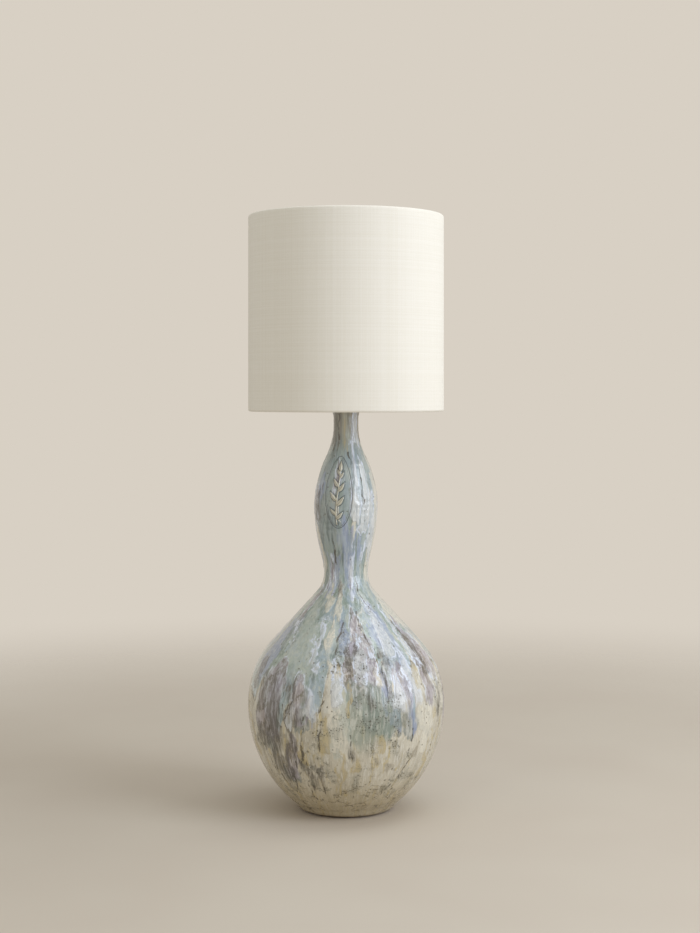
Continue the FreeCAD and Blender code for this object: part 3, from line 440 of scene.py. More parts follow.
def turned_form_tree():
    tree, given, output = new_group("turned form", {
        "Geometry": "Geometry", "Columns": 64, "Around": 1.0, "Along": 1.0, "Thread Pitch": 0.004,
        "Thread Depth": 0.0, "Thread Low": 0.0, "Thread High": 1.0, "Material": "Material"},
        {"Geometry": "Geometry"}, "GeometryNodeTree")
    section, pitch = given["Geometry"], given["Thread Pitch"]
    rows = wired("GeometryNodeAttributeDomainSize", {0: section})["Point Count"]
    row_count = rows + 1.0
    grid = wired("GeometryNodeMeshGrid", {"Vertices X": given["Columns"] + 1.0, "Vertices Y": row_count})
    index = add(tree, "GeometryNodeInputIndex")[0]
    column = calc("FLOOR", (index + 0.5) / row_count)
    raw_row = index - column * row_count
    closing = calc("GREATER_THAN", raw_row, rows - 0.5)
    corner = new_node(tree, "GeometryNodeSampleIndex", {
        "Geometry": section, "Index": calc("MODULO", raw_row, rows)}, data_type="FLOAT_VECTOR")
    join(add(tree, "GeometryNodeInputPosition")[0], in_use(corner.inputs, "Value"))
    place = split(Wire(in_use(corner.outputs)))
    height = place["Z"]
    share = column / given["Columns"]
    angle = share * math.tau
    climb = height / pitch * math.tau - angle
    above = calc("DIVIDE", height - given["Thread Low"], pitch, clamp=True)
    below = calc("DIVIDE", given["Thread High"] - height, pitch, clamp=True)
    depth = given["Thread Depth"] * (above * below)
    radius = place["X"] + depth * (calc("COSINE", climb) - 1.0)
    point = vector_of(radius * calc("COSINE", angle), radius * calc("SINE", angle), height)
    cloth = vector_of(share * given["Around"], closing * given["Along"] + place["Y"])
    at_points = new_node(tree, "GeometryNodeFieldOnDomain", data_type="FLOAT_VECTOR", domain="POINT")
    join(cloth, in_use(at_points.inputs))
    mapped = new_node(tree, "GeometryNodeStoreNamedAttribute", {"Geometry": grid["Mesh"], "Name": "UVMap"},
                      data_type="FLOAT2", domain="CORNER")
    join(Wire(in_use(at_points.outputs)), in_use(mapped.inputs, "Value"))
    moved = wired("GeometryNodeSetPosition", {"Geometry": Wire(mapped.outputs[0]), "Position": point})[0]
    welded = wired("GeometryNodeMergeByDistance", {"Geometry": moved, "Distance": TOUCHING})[0]
    real = wired("GeometryNodeRealizeInstances", {0: welded})[0]
    dressed = wired("GeometryNodeSetMaterial", {"Geometry": real, "Material": given["Material"]})[0]
    join(dressed, output["Geometry"])
    return tree


def grow(name, tree, source, inputs):
    """Evaluates a Geometry Nodes tree on a source mesh and keeps the result as a plain mesh."""
    carrier = put_in_scene(name, source)
    modifier = carrier.modifiers.new("form", "NODES")
    modifier.node_group = tree
    for item in tree.interface.items_tree:
        if item.in_out == "INPUT" and item.name in inputs:
            modifier[item.identifier] = inputs[item.name]
    keep_evaluated(carrier)
    carrier.data.name = name
    return carrier


def keep_evaluated(piece):
    """Replaces a piece's mesh by what its modifiers make of it."""
    evaluated = piece.evaluated_get(bpy.context.evaluated_depsgraph_get())
    mesh = bpy.data.meshes.new_from_object(evaluated)
    piece.modifiers.clear()
    piece.data = mesh


def points_of(mesh):
    flat = np.empty(len(mesh.vertices) * 3)
    mesh.vertices.foreach_get("co", flat)
    return flat.reshape(-1, 3)


def move_points(mesh, points):
    mesh.vertices.foreach_set("co", points.astype(np.float32).ravel())
    mesh.update()


def widen(mesh, points, scale):
    """Moves each point out from the Z axis, or in to it."""
    move_points(mesh, points * np.column_stack([scale, scale, np.ones(len(scale))]))


@contextmanager
def edited(mesh):
    """A mesh as a bmesh, which is written back at the end."""
    work = bmesh.new()
    work.from_mesh(mesh)
    yield work
    work.to_mesh(mesh)
    work.free()


def face_outwards(piece):
    """Makes a closed mesh smooth, and turns its faces outwards if it encloses less than nothing."""
    with edited(piece.data) as work:
        loose = [edge for edge in work.edges if not edge.link_faces]
        bmesh.ops.delete(work, geom=loose, context="EDGES")
        if work.calc_volume(signed=True) < 0:
            bmesh.ops.reverse_faces(work, faces=work.faces)
        for face in work.faces:
            face.smooth = True


def turn(name, rows, columns, material, **thread):
    """A closed turned form from the rows of its cross-section."""
    section = bpy.data.meshes.new(name + "_section")
    steps = np.linalg.norm(np.roll(rows, -1, 0) - rows, axis=1)
    along = np.cumsum(steps) - steps
    section.from_pydata([(radius, far, height) for (radius, height), far in zip(rows, along)], [], [])
    inputs = {"Columns": columns, "Around": float(math.tau * rows[:, 0].max()),
              "Along": float(steps.sum()), "Material": material}
    inputs.update({label.replace("_", " "): value for label, value in thread.items()})
    piece = grow(name, TURNED_FORM, section, inputs)
    face_outwards(piece)
    return piece


TURNED_FORM = turned_form_tree()
print("turned form:", len(TURNED_FORM.nodes), "nodes")

# %% [markdown]
# ## Effects that several finishes share
#
# Glaze, clay, cloth, felt and lacquer all change a little from place to place, so the effects are
# built once as groups: a cloudy tone, small specks, fine scratches, a weave, and coordinates that run
# with the glaze as it flows down the pot. Each material uses them with its own sizes.

# %% Shared effects
def make_cloudy():
    tree, given, output = new_group("cloudy tone", {"Vector": "Vector", "Scale": 20.0, "Contrast": 1.0},
                                    {"Tone": "Float"})
    tone = noise(given["Vector"], given["Scale"], 4.0, 0.6)
    join(calc("ADD", (tone - 0.5) * given["Contrast"], 0.5, clamp=True), output["Tone"])
    return tree


def make_specks():
    tree, given, output = new_group(
        "specks", {"Vector": "Vector", "Scale": 300.0, "Size": 0.2, "Share": 0.3}, {"Mask": "Float"})
    vector, scale = given["Vector"], given["Scale"]
    cells = wired("TexVoronoi", {"Vector": vector, "Scale": scale})
    chance = split(cells["Color"])
    chosen = calc("LESS_THAN", chance["X"], given["Share"])
    outer = given["Size"] * (chance["Y"] * 0.7 + 0.5)
    uneven = (noise(vector, scale * 3.0, 2.0) - 0.5) * 0.45 + cells["Distance"]
    join(fade(uneven, outer, outer * 0.6) * chosen, output["Mask"])
    return tree


def make_scratches():
    tree, given, output = new_group("fine scratches", {"Vector": "Vector", "Scale": 60.0, "Stretch": 12.0},
                                    {"Mask": "Float"})
    long_way = vector_of(1.0, 1.0, given["Stretch"])
    grain = noise(vector_calc("MULTIPLY", given["Vector"], long_way), given["Scale"], 5.0, 0.7)
    join(fade(grain, 0.45, 0.75), output["Mask"])
    return tree


def make_weave():
    """Plain weave from a UV map in metres: threads over and under, each of its own thickness."""
    tree, given, output = new_group("weave", {"Vector": "Vector", "Threads": 1600.0, "Slubs": 0.5},
                                    {"Height": "Float", "Thread Tone": "Float"})
    cloth, count = given["Vector"], given["Threads"]
    far = split(cloth)
    threads, tones = [], []
    for axis, other, wavy, long_run in (("X", "Y", (900, 30, 1), (1600, 25, 1)),
                                        ("Y", "X", (30, 900, 1), (25, 1600, 1))):
        sway = noise(vector_calc("MULTIPLY", cloth, wavy), 1.0, 2.0)
        line = far[axis] * count
        round_top = calc("ABSOLUTE", calc("SINE", (line + sway * given["Slubs"]) * math.pi))
        own = wired("TexWhiteNoise", {"W": calc("FLOOR", line)}, noise_dimensions="1D")["Value"]
        thick = noise(vector_calc("MULTIPLY", cloth, long_run), 1.0, 2.0)
        tones.append(own * 0.4 + thick * 0.6)
        over = calc("SINE", far[other] * count * math.pi)
        threads.append(round_top * (over * 0.25 + 0.75))
    join(most(*threads), output["Height"])
    join((tones[0] + tones[1]) * 0.5, output["Thread Tone"])
    return tree


def make_flow():
    """Coordinates that follow the gourd: round it as a circle, smaller on the lobe, and down it."""
    tree, given, output = new_group("glaze flow", {"Vector": "Vector", "Drop": 3.0, "Wander": 0.03},
                                    {"Flow": "Vector"})
    place = given["Vector"]
    part = split(place)
    slim = fade(part["Z"], 0.16, 0.32, 1.0, 0.36)
    circle = vector_calc("SCALE", vector_calc("NORMALIZE", vector_of(part["X"], part["Y"])), Scale=slim)
    drop = vector_of(z=part["Z"] * given["Drop"])
    wander = wired("TexNoise", {"Vector": place, "Scale": 28.0, "Detail": 2.0})["Color"]
    sway = vector_calc("SCALE", vector_calc("SUBTRACT", wander, (0.5, 0.5, 0.5)), Scale=given["Wander"])
    join(vector_calc("ADD", vector_calc("ADD", circle, drop), sway), output["Flow"])
    return tree


CLOUDY = make_cloudy()
SPECKS = make_specks()
SCRATCHES = make_scratches()
WEAVE = make_weave()
FLOW = make_flow()
print("shared effects:", [g.name for g in (CLOUDY, SPECKS, SCRATCHES, WEAVE, FLOW)])

# %% [markdown]
# ## The gourd: where each glaze lies
#
# Several glazes were poured over one another and ran down the pot in the kiln. On the real pot their
# edges are tongues, arches and ragged lines. Each pour is a short line here: its angle from the front,
# its half width, its top and its lowest point. From these, every point of the mesh gets its distance
# to the nearest edge of each glaze, in millimetres, as an attribute. The material later breaks those
# edges up, so they stay sharp however coarse the mesh is. The front's pours are listed one by one, and
# the back is filled with pours of the same kinds at random, with a fixed seed.

# %% Pours
OUTER_TOP = int(np.argmax(gourd_seam[:, 1]))
OUTER_LINE = gourd_seam[:OUTER_TOP + 1]
POUR_SEED = 11
LINE_SEED = 12
BACK_SHARE = 1.25  # pours on the sides and the back for each one in front
BACK_LINES = 26
BACK_FROM_TO = (86, 274)  # degrees from the front
BACK_DRIPS_FROM_TO = (94, 270)
LINES_FROM_TO = (80, 280)
LINE_HALF_WIDTH = 1.35
MEAN_RADIUS = 110
LEAST_RADIUS = 70
DEEPEST = 12
CLOSING = {"arch": (0.30, 1.0), "run": (1.0, 0.30), "patch": (0.55, 0.55)}  # slopes at low and top
END_ROUND, SIDE_ROUND = 4.0, 8.0

# (angle, half width, top, lowest point, lean) in degrees and millimetres
POURS = {
    "mauve": [(-50, 12, 214, 100, 3), (-28, 5.5, 184, 132, 0), (10, 10, 264, 170, 3),
              (64, 9, 250, 180, 2), (-58, 7, 296, 238, 0), (-19, 9, 462, 420, 0), (-34, 6, 112, 60, 0),
              (9, 5, 302, 280, 0), (36, 8, 206, 160, 0), (57, 3.5, 206, 148, -2), (-74, 9, 424, 380, 0),
              (-44, 7, 330, 290, 0)],
    "slate": [(-62, 16, 430, 332, 0), (-30, 8, 392, 340, 0), (-5, 6, 470, 432, 0),
              (-10, 7, 352, 316, 0), (-46, 8, 156, 92, 2), (22, 13, 172, 114, 2), (-27, 5, 156, 104, 0),
              (-60, 7, 330, 276, 0), (14, 5, 206, 158, 0), (-22, 6, 336, 292, 0), (39, 7, 156, 106, 0),
              (-38, 5, 72, 42, 0), (-50, 12, 420, 360, 0), (31, 6, 240, 196, 0), (-9, 3, 240, 200, 0),
              (-66, 11, 256, 190, 0), (-24, 3, 250, 176, -4), (-48, 14, 470, 430, 0)],
    "dark": [(-47, 6, 172, 80, 2), (-34, 4, 190, 92, 0), (-57, 4, 196, 146, 2), (-42, 7, 88, 48, -3),
             (-24, 3, 96, 40, -3), (-17, 3, 92, 50, -2), (13, 3, 236, 206, 1), (3, 2.4, 236, 186, 0),
             (59, 3.5, 244, 178, 2), (-68, 4, 206, 160, 0), (-12, 6, 298, 276, 0),
             (-66, 22, 520, 462, 0), (-31, 6, 520, 478, 0), (78, 12, 520, 470, 0),
             (-60, 9, 426, 366, 0), (25, 2.2, 220, 158, 2), (-56, 5, 128, 84, 2), (-38, 3, 118, 66, 0),
             (-30, 2, 108, 74, -2), (-45, 4, 196, 122, 0), (-57, 3, 186, 118, 2), (69, 3, 168, 120, 0),
             (-30, 4, 150, 112, 0), (12, 3, 178, 150, 0), (4, 3, 112, 90, 0)],
    "fleck": [(-2, 5, 240, 190, 1), (21, 18, 176, 112, 2), (-17, 11, 106, 34, -3), (15, 5, 110, 88, 0),
              (31, 10, 136, 80, -6), (37, 12, 76, 32, -5), (-46, 12, 66, 26, 0), (-9, 9, 300, 280, 0),
              (70, 9, 180, 126, 0), (80, 8, 206, 140, 0), (-12, 8, 146, 100, 0), (-6, 6, 152, 124, 0),
              (-62, 7, 132, 84, 0), (8, 9, 74, 30, 0), (54, 8, 70, 36, 0), (12, 10, 218, 186, 0)],
    "pale": [(-5, 2.6, 206, 150, 0), (8.5, 2.3, 238, 190, 5), (11.5, 1.6, 232, 186, 4),
             (34, 7, 270, 208, -3), (33, 6, 204, 146, 2), (-22.5, 2.4, 168, 134, 0),
             (-31, 3.4, 148, 122, 0), (-25, 1.6, 240, 196, -4), (13, 6, 330, 296, 0),
             (42, 13, 522, 472, 0), (41, 16, 450, 364, 3), (19, 7, 472, 374, 2), (52, 3, 266, 208, -4),
             (45, 2.6, 206, 150, 0), (56, 14, 404, 326, 0)],
    "blue": [(30, 7, 354, 310, 0), (6, 12, 366, 292, 0), (0, 14, 376, 316, 0), (14, 5, 330, 284, 0),
             (-26, 6, 334, 288, 0), (34, 10, 272, 196, 0), (-20, 2.6, 176, 132, 0),
             (41, 2.4, 184, 108, 0), (26, 3.4, 200, 146, 0), (-66, 8, 250, 180, 0),
             (-56, 8, 440, 396, 0), (22, 5, 466, 428, 0), (-42, 8, 336, 272, 0), (2, 6, 256, 206, 0),
             (-46, 5, 190, 140, 0), (28, 3, 152, 114, 0), (31, 5, 508, 470, 0)],
    "mist": [(-35, 13, 244, 194, 2), (-27, 8, 206, 172, 0), (-12, 7, 250, 224, 0), (12, 5, 236, 206, 0),
             (-44, 8, 272, 236, 0), (40, 8, 246, 206, 0), (4, 8, 452, 424, 0), (-8, 7, 366, 340, 0),
             (54, 8, 300, 264, 0), (4, 9, 514, 470, 0), (-3, 8, 198, 84, 0), (-4, 6, 176, 92, 0),
             (-2, 10, 514, 480, 0)],
    "cream": [(48, 2.8, 244, 108, 0), (56, 2.8, 226, 108, 0), (72, 5, 234, 134, 2),
              (-10, 3.4, 214, 144, -3), (-11, 9, 292, 256, 0), (16, 3.4, 420, 346, 0),
              (-66, 6, 160, 52, 0), (2, 1.4, 206, 146, 0), (-4, 4.5, 148, 86, 0), (54, 6, 150, 80, 0),
              (-30, 7, 306, 270, 3), (44, 1.8, 424, 362, 0), (-17, 2.5, 408, 372, 0),
              (-15, 4, 262, 214, -3), (17, 1.5, 296, 236, 4), (28, 1.3, 250, 168, 3),
              (64, 2, 214, 150, 0), (76, 22, 490, 296, 0), (80, 20, 332, 232, 0), (-6, 3, 172, 120, 0)],
    "ochre": [(-2.5, 1.8, 108, 42, 0), (-25, 1.7, 134, 76, 0), (-11, 3.0, 152, 92, 0),
              (20, 2.4, 116, 90, 0), (6, 5, 94, 66, 0), (-68, 3, 134, 86, 0), (57, 3, 100, 60, 0),
              (-1, 3.4, 506, 458, 0), (1.5, 1.4, 182, 146, 0), (-7, 1.2, 96, 50, 0)],
    "moss": [(12, 11, 178, 108, 1), (3, 4, 180, 132, 0), (25, 6, 162, 108, 0), (-22, 3, 206, 130, 0),
             (34, 6, 238, 200, -3)],
}
# how a pour's outline closes: an arch is open below, a run starts thin and ends in a bead
SHAPES = dict.fromkeys(POURS, "patch")
SHAPES.update(mauve="arch", pale="run", cream="run", ochre="run")
# lowest points of the blue and sage curtain round the front, (angle, height)
DRIPS = [(-84, 176), (-75, 160), (-66, 152), (-60, 178), (-50, 128), (-42, 116), (-35, 148), (-31, 170),
         (-28, 181), (-24, 166), (-19, 138), (-15, 146), (-11, 196), (-7, 206), (-3, 200), (1, 214),
         (6, 250), (11, 256), (16, 246), (20, 216), (23, 190), (26, 148), (28, 176), (31, 199),
         (35, 188), (39, 168), (41.5, 112), (44, 190), (50, 206), (56, 190), (62, 214), (71, 220),
         (78, 196), (88, 168)]
# dark iron lines, (angle, height) to (angle, height)
IRON_LINES = [((-8.7, 175), (-17, 141)), ((22, 222), (27, 158)), ((-35, 176), (-34, 140)),
              ((-24, 140), (-29, 70)), ((-36, 98), (-24, 28)), ((-47, 52), (-36, 34)),
              ((44, 84), (28, 34)), ((41, 122), (40, 88)), ((65, 116), (62, 92)),
              ((-35, 512), (-33, 478)), ((8, 462), (12, 440)), ((57, 240), (66, 200)),
              ((-14, 128), (-16, 96)), ((30, 430), (33, 396)), ((-60, 112), (-52, 62)),
              ((2, 120), (4, 84)), ((24, 300), (34, 262)), ((-28, 352), (-24, 316)),
              ((-31, 168), (-36, 130)), ((-40, 178), (-37, 132)), ((12, 262), (27, 168)),
              ((-19, 84), (-14, 34)), ((-30, 70), (-18, 26)), ((-36, 60), (-40, 34)),
              ((30, 52), (38, 40)), ((69, 160), (66, 120)), ((-4, 250), (-8, 214)),
              ((-50, 60), (-44, 40)), ((15, 36), (-8, 27)), ((34, 40), (18, 27)),
              ((-58, 96), (-46, 50)), ((-44, 84), (-34, 44)), ((-27, 104), (-22, 60)),
              ((-50, 130), (-48, 88))]
print("widest:", round(OUTER_LINE[:, 0].max() / MM, 1), "mm from the axis")

# %% Pour tools
def wrapped(angle):
    return (angle + 180) % 360 - 180


def soft_least(first, second, reach):
    """The lesser of two values, with the corner between them rounded over reach."""
    share = np.clip(0.5 + 0.5 * (second - first) / reach, 0, 1)
    return second * (1 - share) + first * share - reach * share * (1 - share)


def smooth(value, low, high):
    share = np.clip((value - low) / (high - low), 0, 1)
    return share * share * (3 - 2 * share)


def wander(angle, height, size, rng, count=9):
    """A smooth field from about -1 to 1 over the pot, in waves of about size millimetres."""
    field = np.zeros_like(height)
    for _ in range(count):
        way, length = rng.uniform(0, math.tau), size * rng.uniform(0.7, 1.5)
        around = round(math.tau * MEAN_RADIUS / length * math.cos(way))
        upward = math.tau / length * math.sin(way) * 0.6
        field += np.sin(around * np.radians(angle) + upward * height + rng.uniform(0, math.tau))
    return field / math.sqrt(count / 2)


def depth_in_pour(angle, height, radius, pour, shape):
    """How far inside a pour each point is, in millimetres: below nothing outside it."""
    middle, half, top, low, lean = pour
    share = (height - low) / (top - low)
    off = np.abs(wrapped(angle - middle - lean * (share - 0.5)))
    held = np.clip(share, 0, 1)
    if shape == "arch":
        width = np.sqrt(1 - held ** 2.4)
    elif shape == "run":
        width = 1.0 - 0.55 * smooth(held, 0.05, 0.9)
    else:
        width = 0.35 + 0.65 * np.sqrt(1 - (2 * held - 1) ** 2)
    sides = np.radians(half * width - off) * radius
    below, above = CLOSING[shape]
    ends = soft_least((height - low) * below, (top - height) * above, END_ROUND)
    return soft_least(sides, ends, np.minimum(SIDE_ROUND, np.radians(half) * radius + 0.5))


def back_pours(rng, kind, count):
    """Pours for the sides and the back, which repeat the sizes of the ones in front."""
    made = []
    for _ in range(count):
        _, half, top, low, _ = POURS[kind][rng.integers(len(POURS[kind]))]
        shift = rng.uniform(-14, 14)
        made.append((rng.uniform(*BACK_FROM_TO), half * rng.uniform(0.7, 1.3), top + shift,
                     low + shift + rng.uniform(-10, 6), rng.uniform(-4, 4)))
    return made


def curtain_edge(angle, rng):
    """The height of the curtain's lower edge at each angle."""
    stations = list(DRIPS)
    at, end = BACK_DRIPS_FROM_TO
    while at < end:
        stations.append((at, rng.uniform(112, 156)))
        stations.append((at + rng.uniform(4, 7), rng.uniform(178, 232)))
        at += rng.uniform(10, 17)
    knots = np.array(sorted((a % 360, z) for a, z in stations))
    knots = np.vstack([knots[-1] - (360, 0), knots, knots[0] + (360, 0)])
    fine = np.arange(0, 360, 0.25)
    slot = np.clip(np.searchsorted(knots[:, 0], fine) - 1, 0, len(knots) - 2)
    share = smooth(fine, knots[slot, 0], knots[slot + 1, 0])
    line = knots[slot, 1] * (1 - share) + knots[slot + 1, 1] * share
    return np.interp(angle % 360, np.append(fine, 360), np.append(line, line[0]))


def distance_to_line(angle, height, radius, line):
    (angle_0, height_0), (angle_1, height_1) = line
    along = np.clip((height_0 - height) / (height_0 - height_1), 0, 1)
    sway = 1.2 * np.sin(height / 5.3 + angle_0) + 0.7 * np.sin(height / 2.1 + height_0)
    off = np.radians(wrapped(angle - angle_0 - (angle_1 - angle_0) * along)) * radius + sway
    past = np.maximum(height - height_0, height_1 - height)
    return np.hypot(off, np.maximum(past, 0) * 1.5)


def glaze_maps(angle, height, radius):
    """Each glaze's depth at each point, in millimetres, kept within DEEPEST."""
    maps = {"sage": (height - curtain_edge(angle, np.random.default_rng(POUR_SEED))) * 0.55}
    for order, (kind, pours) in enumerate(POURS.items()):
        rng = np.random.default_rng((POUR_SEED, order))
        everywhere = pours + back_pours(rng, kind, round(len(pours) * BACK_SHARE))
        sway = 3.6 * wander(angle, height, 55, rng) + 1.6 * wander(angle, height, 18, rng)
        off = np.degrees(sway / np.maximum(radius, LEAST_RADIUS))
        lift = 5.0 * wander(angle, height, 60, rng) + 2.5 * wander(angle, height, 20, rng)
        maps[kind] = np.max([depth_in_pour(angle + off, height + lift, radius, p, SHAPES[kind])
                             for p in everywhere], axis=0)
    lines = list(IRON_LINES)
    rng = np.random.default_rng(LINE_SEED)
    for _ in range(BACK_LINES):
        at, top = rng.uniform(*LINES_FROM_TO), rng.uniform(60, 480)
        lines.append(((at, top), (at + rng.uniform(-7, 7), top - rng.uniform(18, 52))))
    nearest = np.min([distance_to_line(angle, height, radius, line) for line in lines], axis=0)
    maps["iron"] = LINE_HALF_WIDTH - nearest
    return {kind: np.clip(depth, -DEEPEST, DEEPEST) for kind, depth in maps.items()}


print("pours in front:", sum(len(p) for p in POURS.values()), "and", len(IRON_LINES), "iron lines")

# %% [markdown]
# ## The gourd: a sprig in low relief
#
# The front of the upper lobe carries a raised ornament in an almond-shaped frame of incised lines.
# It is a plain leafy sprig. Each leaf is a lens on a short midrib, set in pairs up a bent stem, and
# its height is a formula, so the sprig is pressed into the same mesh as the pot. The distances to
# the leaves, the midribs and the frame are stored with it, and the material draws the fine lines
# from them. The glaze is thin on high places, which show cream, and pools dark in the incised lines.

# %% Sprig
SPRIG_ANGLE = -15.0
SPRIG_HEIGHT = 411.0
SPRIG_RADIUS = 41.0
# (height on the stem, side, lean from upright in degrees, length, width)
LEAVES = [(-34, 1, 52, 13, 4.6), (-29, -1, 54, 13, 4.6), (-17, 1, 50, 16, 5.6), (-11, -1, 50, 16, 5.6),
          (1, 1, 46, 15, 5.2), (7, -1, 46, 14, 5.0), (18, 1, 40, 11, 4.0), (22, -1, 40, 10, 3.8)]
BUD = (26, 0, 0, 15, 6.4)
STEM_ENDS = (-42, 27)
STEM_HALF, STEM_RELIEF, LEAF_RELIEF = 0.9, 0.9, 1.5
FRAME_HALF = (19.0, 50.0)


def stem_at(up):
    return 2.2 * np.sin(up / 17.0)


def sprig_maps(angle, height):
    """Raised height, and distances in millimetres: into a leaf, off a midrib and off the frame."""
    right = np.radians(wrapped(angle - SPRIG_ANGLE)) * SPRIG_RADIUS
    up = height - SPRIG_HEIGHT
    leaf = np.minimum(STEM_HALF - np.abs(right - stem_at(up)),
                      np.minimum(up - STEM_ENDS[0], STEM_ENDS[1] - up))
    raised = STEM_RELIEF * smooth(leaf, -0.5, 0.6)
    rib = np.full_like(up, 3.0)
    for foot, side, lean, length, width in LEAVES + [BUD]:
        lean = math.radians(lean)
        way = (side * math.sin(lean), math.cos(lean))
        off_right, off_up = right - stem_at(foot), up - foot
        along = off_right * way[0] + off_up * way[1]
        across = off_right * way[1] - off_up * way[0] + 0.012 * side * along * np.abs(along)
        half = width / 2 * np.sin(np.pi * np.clip(along / length, 0, 1) ** 0.72)
        inside = np.minimum(half - np.abs(across), np.minimum(along, length - along))
        raised = np.maximum(raised, LEAF_RELIEF * np.clip(inside / (width * 0.32), 0, 1) ** 0.7)
        rib = np.where((inside > leaf) & (along < 0.85 * length), across, rib)
        leaf = np.maximum(leaf, inside)
    slope = np.hypot(right / FRAME_HALF[0] ** 2, up / FRAME_HALF[1] ** 2)
    ring = np.hypot(right / FRAME_HALF[0], up / FRAME_HALF[1])
    pointed = ring + 0.10 * np.abs(up / FRAME_HALF[1]) ** 3
    frame_line = (pointed - 1) * ring / np.maximum(slope, 1e-6)
    return raised, np.clip(leaf, -3, 3), np.clip(rib, -3, 3), np.clip(frame_line, -6, 6)


print("sprig:", len(LEAVES), "leaves and a bud")

# %% [markdown]
# ## The gourd: form
#
# The rows lie closer on the lobe, where the sprig is. The surface then sinks a little wherever there
# is no glaze or only one, swells into a soft roll along each glaze's edge, and keeps faint rings from
# the wheel. All of this goes inwards from the CAD surface, and it fades out at the foot, at the neck
# and round the outlet, where other pieces touch the pot.

# %% Gourd tools
COLUMNS = 280
WALL = 3.5 * MM  # the inside is further in than this
LOBE = (0.352, 0.468)  # heights between which the rows lie closer
ROW_SPACING = {"lobe": 1.15 * MM, "outside": 3.2 * MM, "inside": 14 * MM}
FOOT_TOP = 2.6 * MM
SKIN_EDGE = (-2.5 * MM, -1.0 * MM)  # off the outer line
FOOT_FADE = (4 * MM, 12 * MM)
NECK_FADE = (0.508, 0.514)
OUTLET_FADE = (12 * MM, 22 * MM)
CLAY_FADE = (3.0 * MM, 6.5 * MM)
SINKS = {"mauve": 0.18, "pale": 0.40, "blue": 0.12, "cream": 0.3}
WHEEL_PITCH = 7.5
OUTLET = next(m for m in frame["record"]["mounts"] if m["name"] == "cord_exit")
OUTLET_PLACE = np.array(OUTLET["pos_m"])
OUTLET_WAY = np.array(OUTLET["axis"])
OUTLET_BORE = (OUTLET["dims"]["r_mm"] + 1.85) * MM  # the bush's wall around its bore


def outer_radius(height):
    return np.interp(height, OUTER_LINE[:, 1], OUTER_LINE[:, 0])


def gourd_rows():
    def spacing(radius, height):
        if radius < outer_radius(height) - WALL or height < FOOT_TOP:
            return ROW_SPACING["inside"]
        return ROW_SPACING["lobe" if LOBE[0] < height < LOBE[1] else "outside"]

    inner = thin_rows(gourd_seam[OUTER_TOP:], 3 * MM)
    return rows_along(np.vstack([gourd_seam[:OUTER_TOP], inner]), spacing)


def cut_away(piece, cutter_form):
    """Cuts the closed forms in a bmesh out of a piece, and frees the bmesh."""
    cutter_mesh = bpy.data.meshes.new("cutter")
    cutter_form.to_mesh(cutter_mesh)
    cutter_form.free()
    cutter = put_in_scene("cutter", cutter_mesh)
    modifier = piece.modifiers.new("cut", "BOOLEAN")
    modifier.operation = "DIFFERENCE"
    modifier.solver = "EXACT"
    modifier.object = cutter
    keep_evaluated(piece)
    bpy.data.objects.remove(cutter)
    # the cut leaves a few corners that all but touch
    with edited(piece.data) as work:
        bmesh.ops.remove_doubles(work, verts=work.verts, dist=2 * TOUCHING)


def cut_outlet(gourd):
    """Cuts the hole for the bush, with a cylinder along the outlet's axis."""
    drill = bmesh.new()
    turned = Vector(OUTLET_WAY).to_track_quat("Z", "Y").to_matrix().to_4x4()
    bmesh.ops.create_cone(drill, cap_ends=True, segments=48, radius1=OUTLET_BORE, radius2=OUTLET_BORE,
                          depth=0.05, matrix=Matrix.Translation(Vector(OUTLET_PLACE)) @ turned)
    cut_away(gourd, drill)


def ridge_at(distance, middle, reach):
    """A soft ridge, 1 where the distance is the middle one."""
    return np.exp(-((distance - middle) / reach) ** 2)


def shape_gourd(gourd):
    """Stores the glaze maps on the mesh and gives its skin its relief."""
    mesh = gourd.data
    points = points_of(mesh)
    normals = np.empty(len(points) * 3)
    mesh.vertices.foreach_get("normal", normals)
    radius = np.hypot(points[:, 0], points[:, 1])
    height = points[:, 2]
    skin = smooth(radius - outer_radius(height), *SKIN_EDGE)
    free = skin * smooth(height, *FOOT_FADE) * (1 - smooth(height, *NECK_FADE))
    off = points - OUTLET_PLACE
    from_outlet = np.linalg.norm(off - np.outer(off @ OUTLET_WAY, OUTLET_WAY), axis=1)
    free = np.clip(free * (smooth(from_outlet, *OUTLET_FADE) + (points[:, 1] < 0)), 0, 1)
    angle = np.degrees(np.arctan2(points[:, 0], -points[:, 1]))
    maps = glaze_maps(angle, height / MM, np.maximum(radius, 5 * MM) / MM)
    raised, leaf, rib, frame_line = sprig_maps(angle, height / MM)
    groove = 0.35 * ridge_at(frame_line, 0, 1.1) + 0.30 * ridge_at(leaf, -0.9, 0.9)
    sunk = 0.30 * (1 - smooth(maps["sage"], -1, 1.5))
    for kind, thickness in SINKS.items():
        sunk += thickness * (1 - smooth(maps[kind], -1.2, 1.2)) - 0.22 * ridge_at(maps[kind], 1.2, 1.6)
    sunk -= 0.32 * ridge_at(maps["sage"], 1.4, 1.5)
    wheel = 0.10 * (1 + np.sin(height / MM * math.tau / WHEEL_PITCH + 0.5 * np.sin(np.radians(angle))))
    lumps = 0.16 * (1 + np.sin(np.radians(2 * angle) + height / MM / 40))
    inward = 0.12 + sunk * np.clip(1 - raised, 0, 1) + wheel + lumps + groove - raised
    inward = np.maximum(inward, -raised) * free * MM
    move_points(mesh, points - normals.reshape(-1, 3) * inward[:, None])
    maps.update(leaf=leaf, rib=rib, frame_line=frame_line,
                bare=1 - skin * smooth(height, *CLAY_FADE))
    for name, values in maps.items():
        kept = mesh.attributes.new(name, "FLOAT", "POINT")
        kept.data.foreach_set("value", np.asarray(values, np.float32))


print("outlet's bore:", round(OUTLET_BORE / MM, 2), "mm in radius")

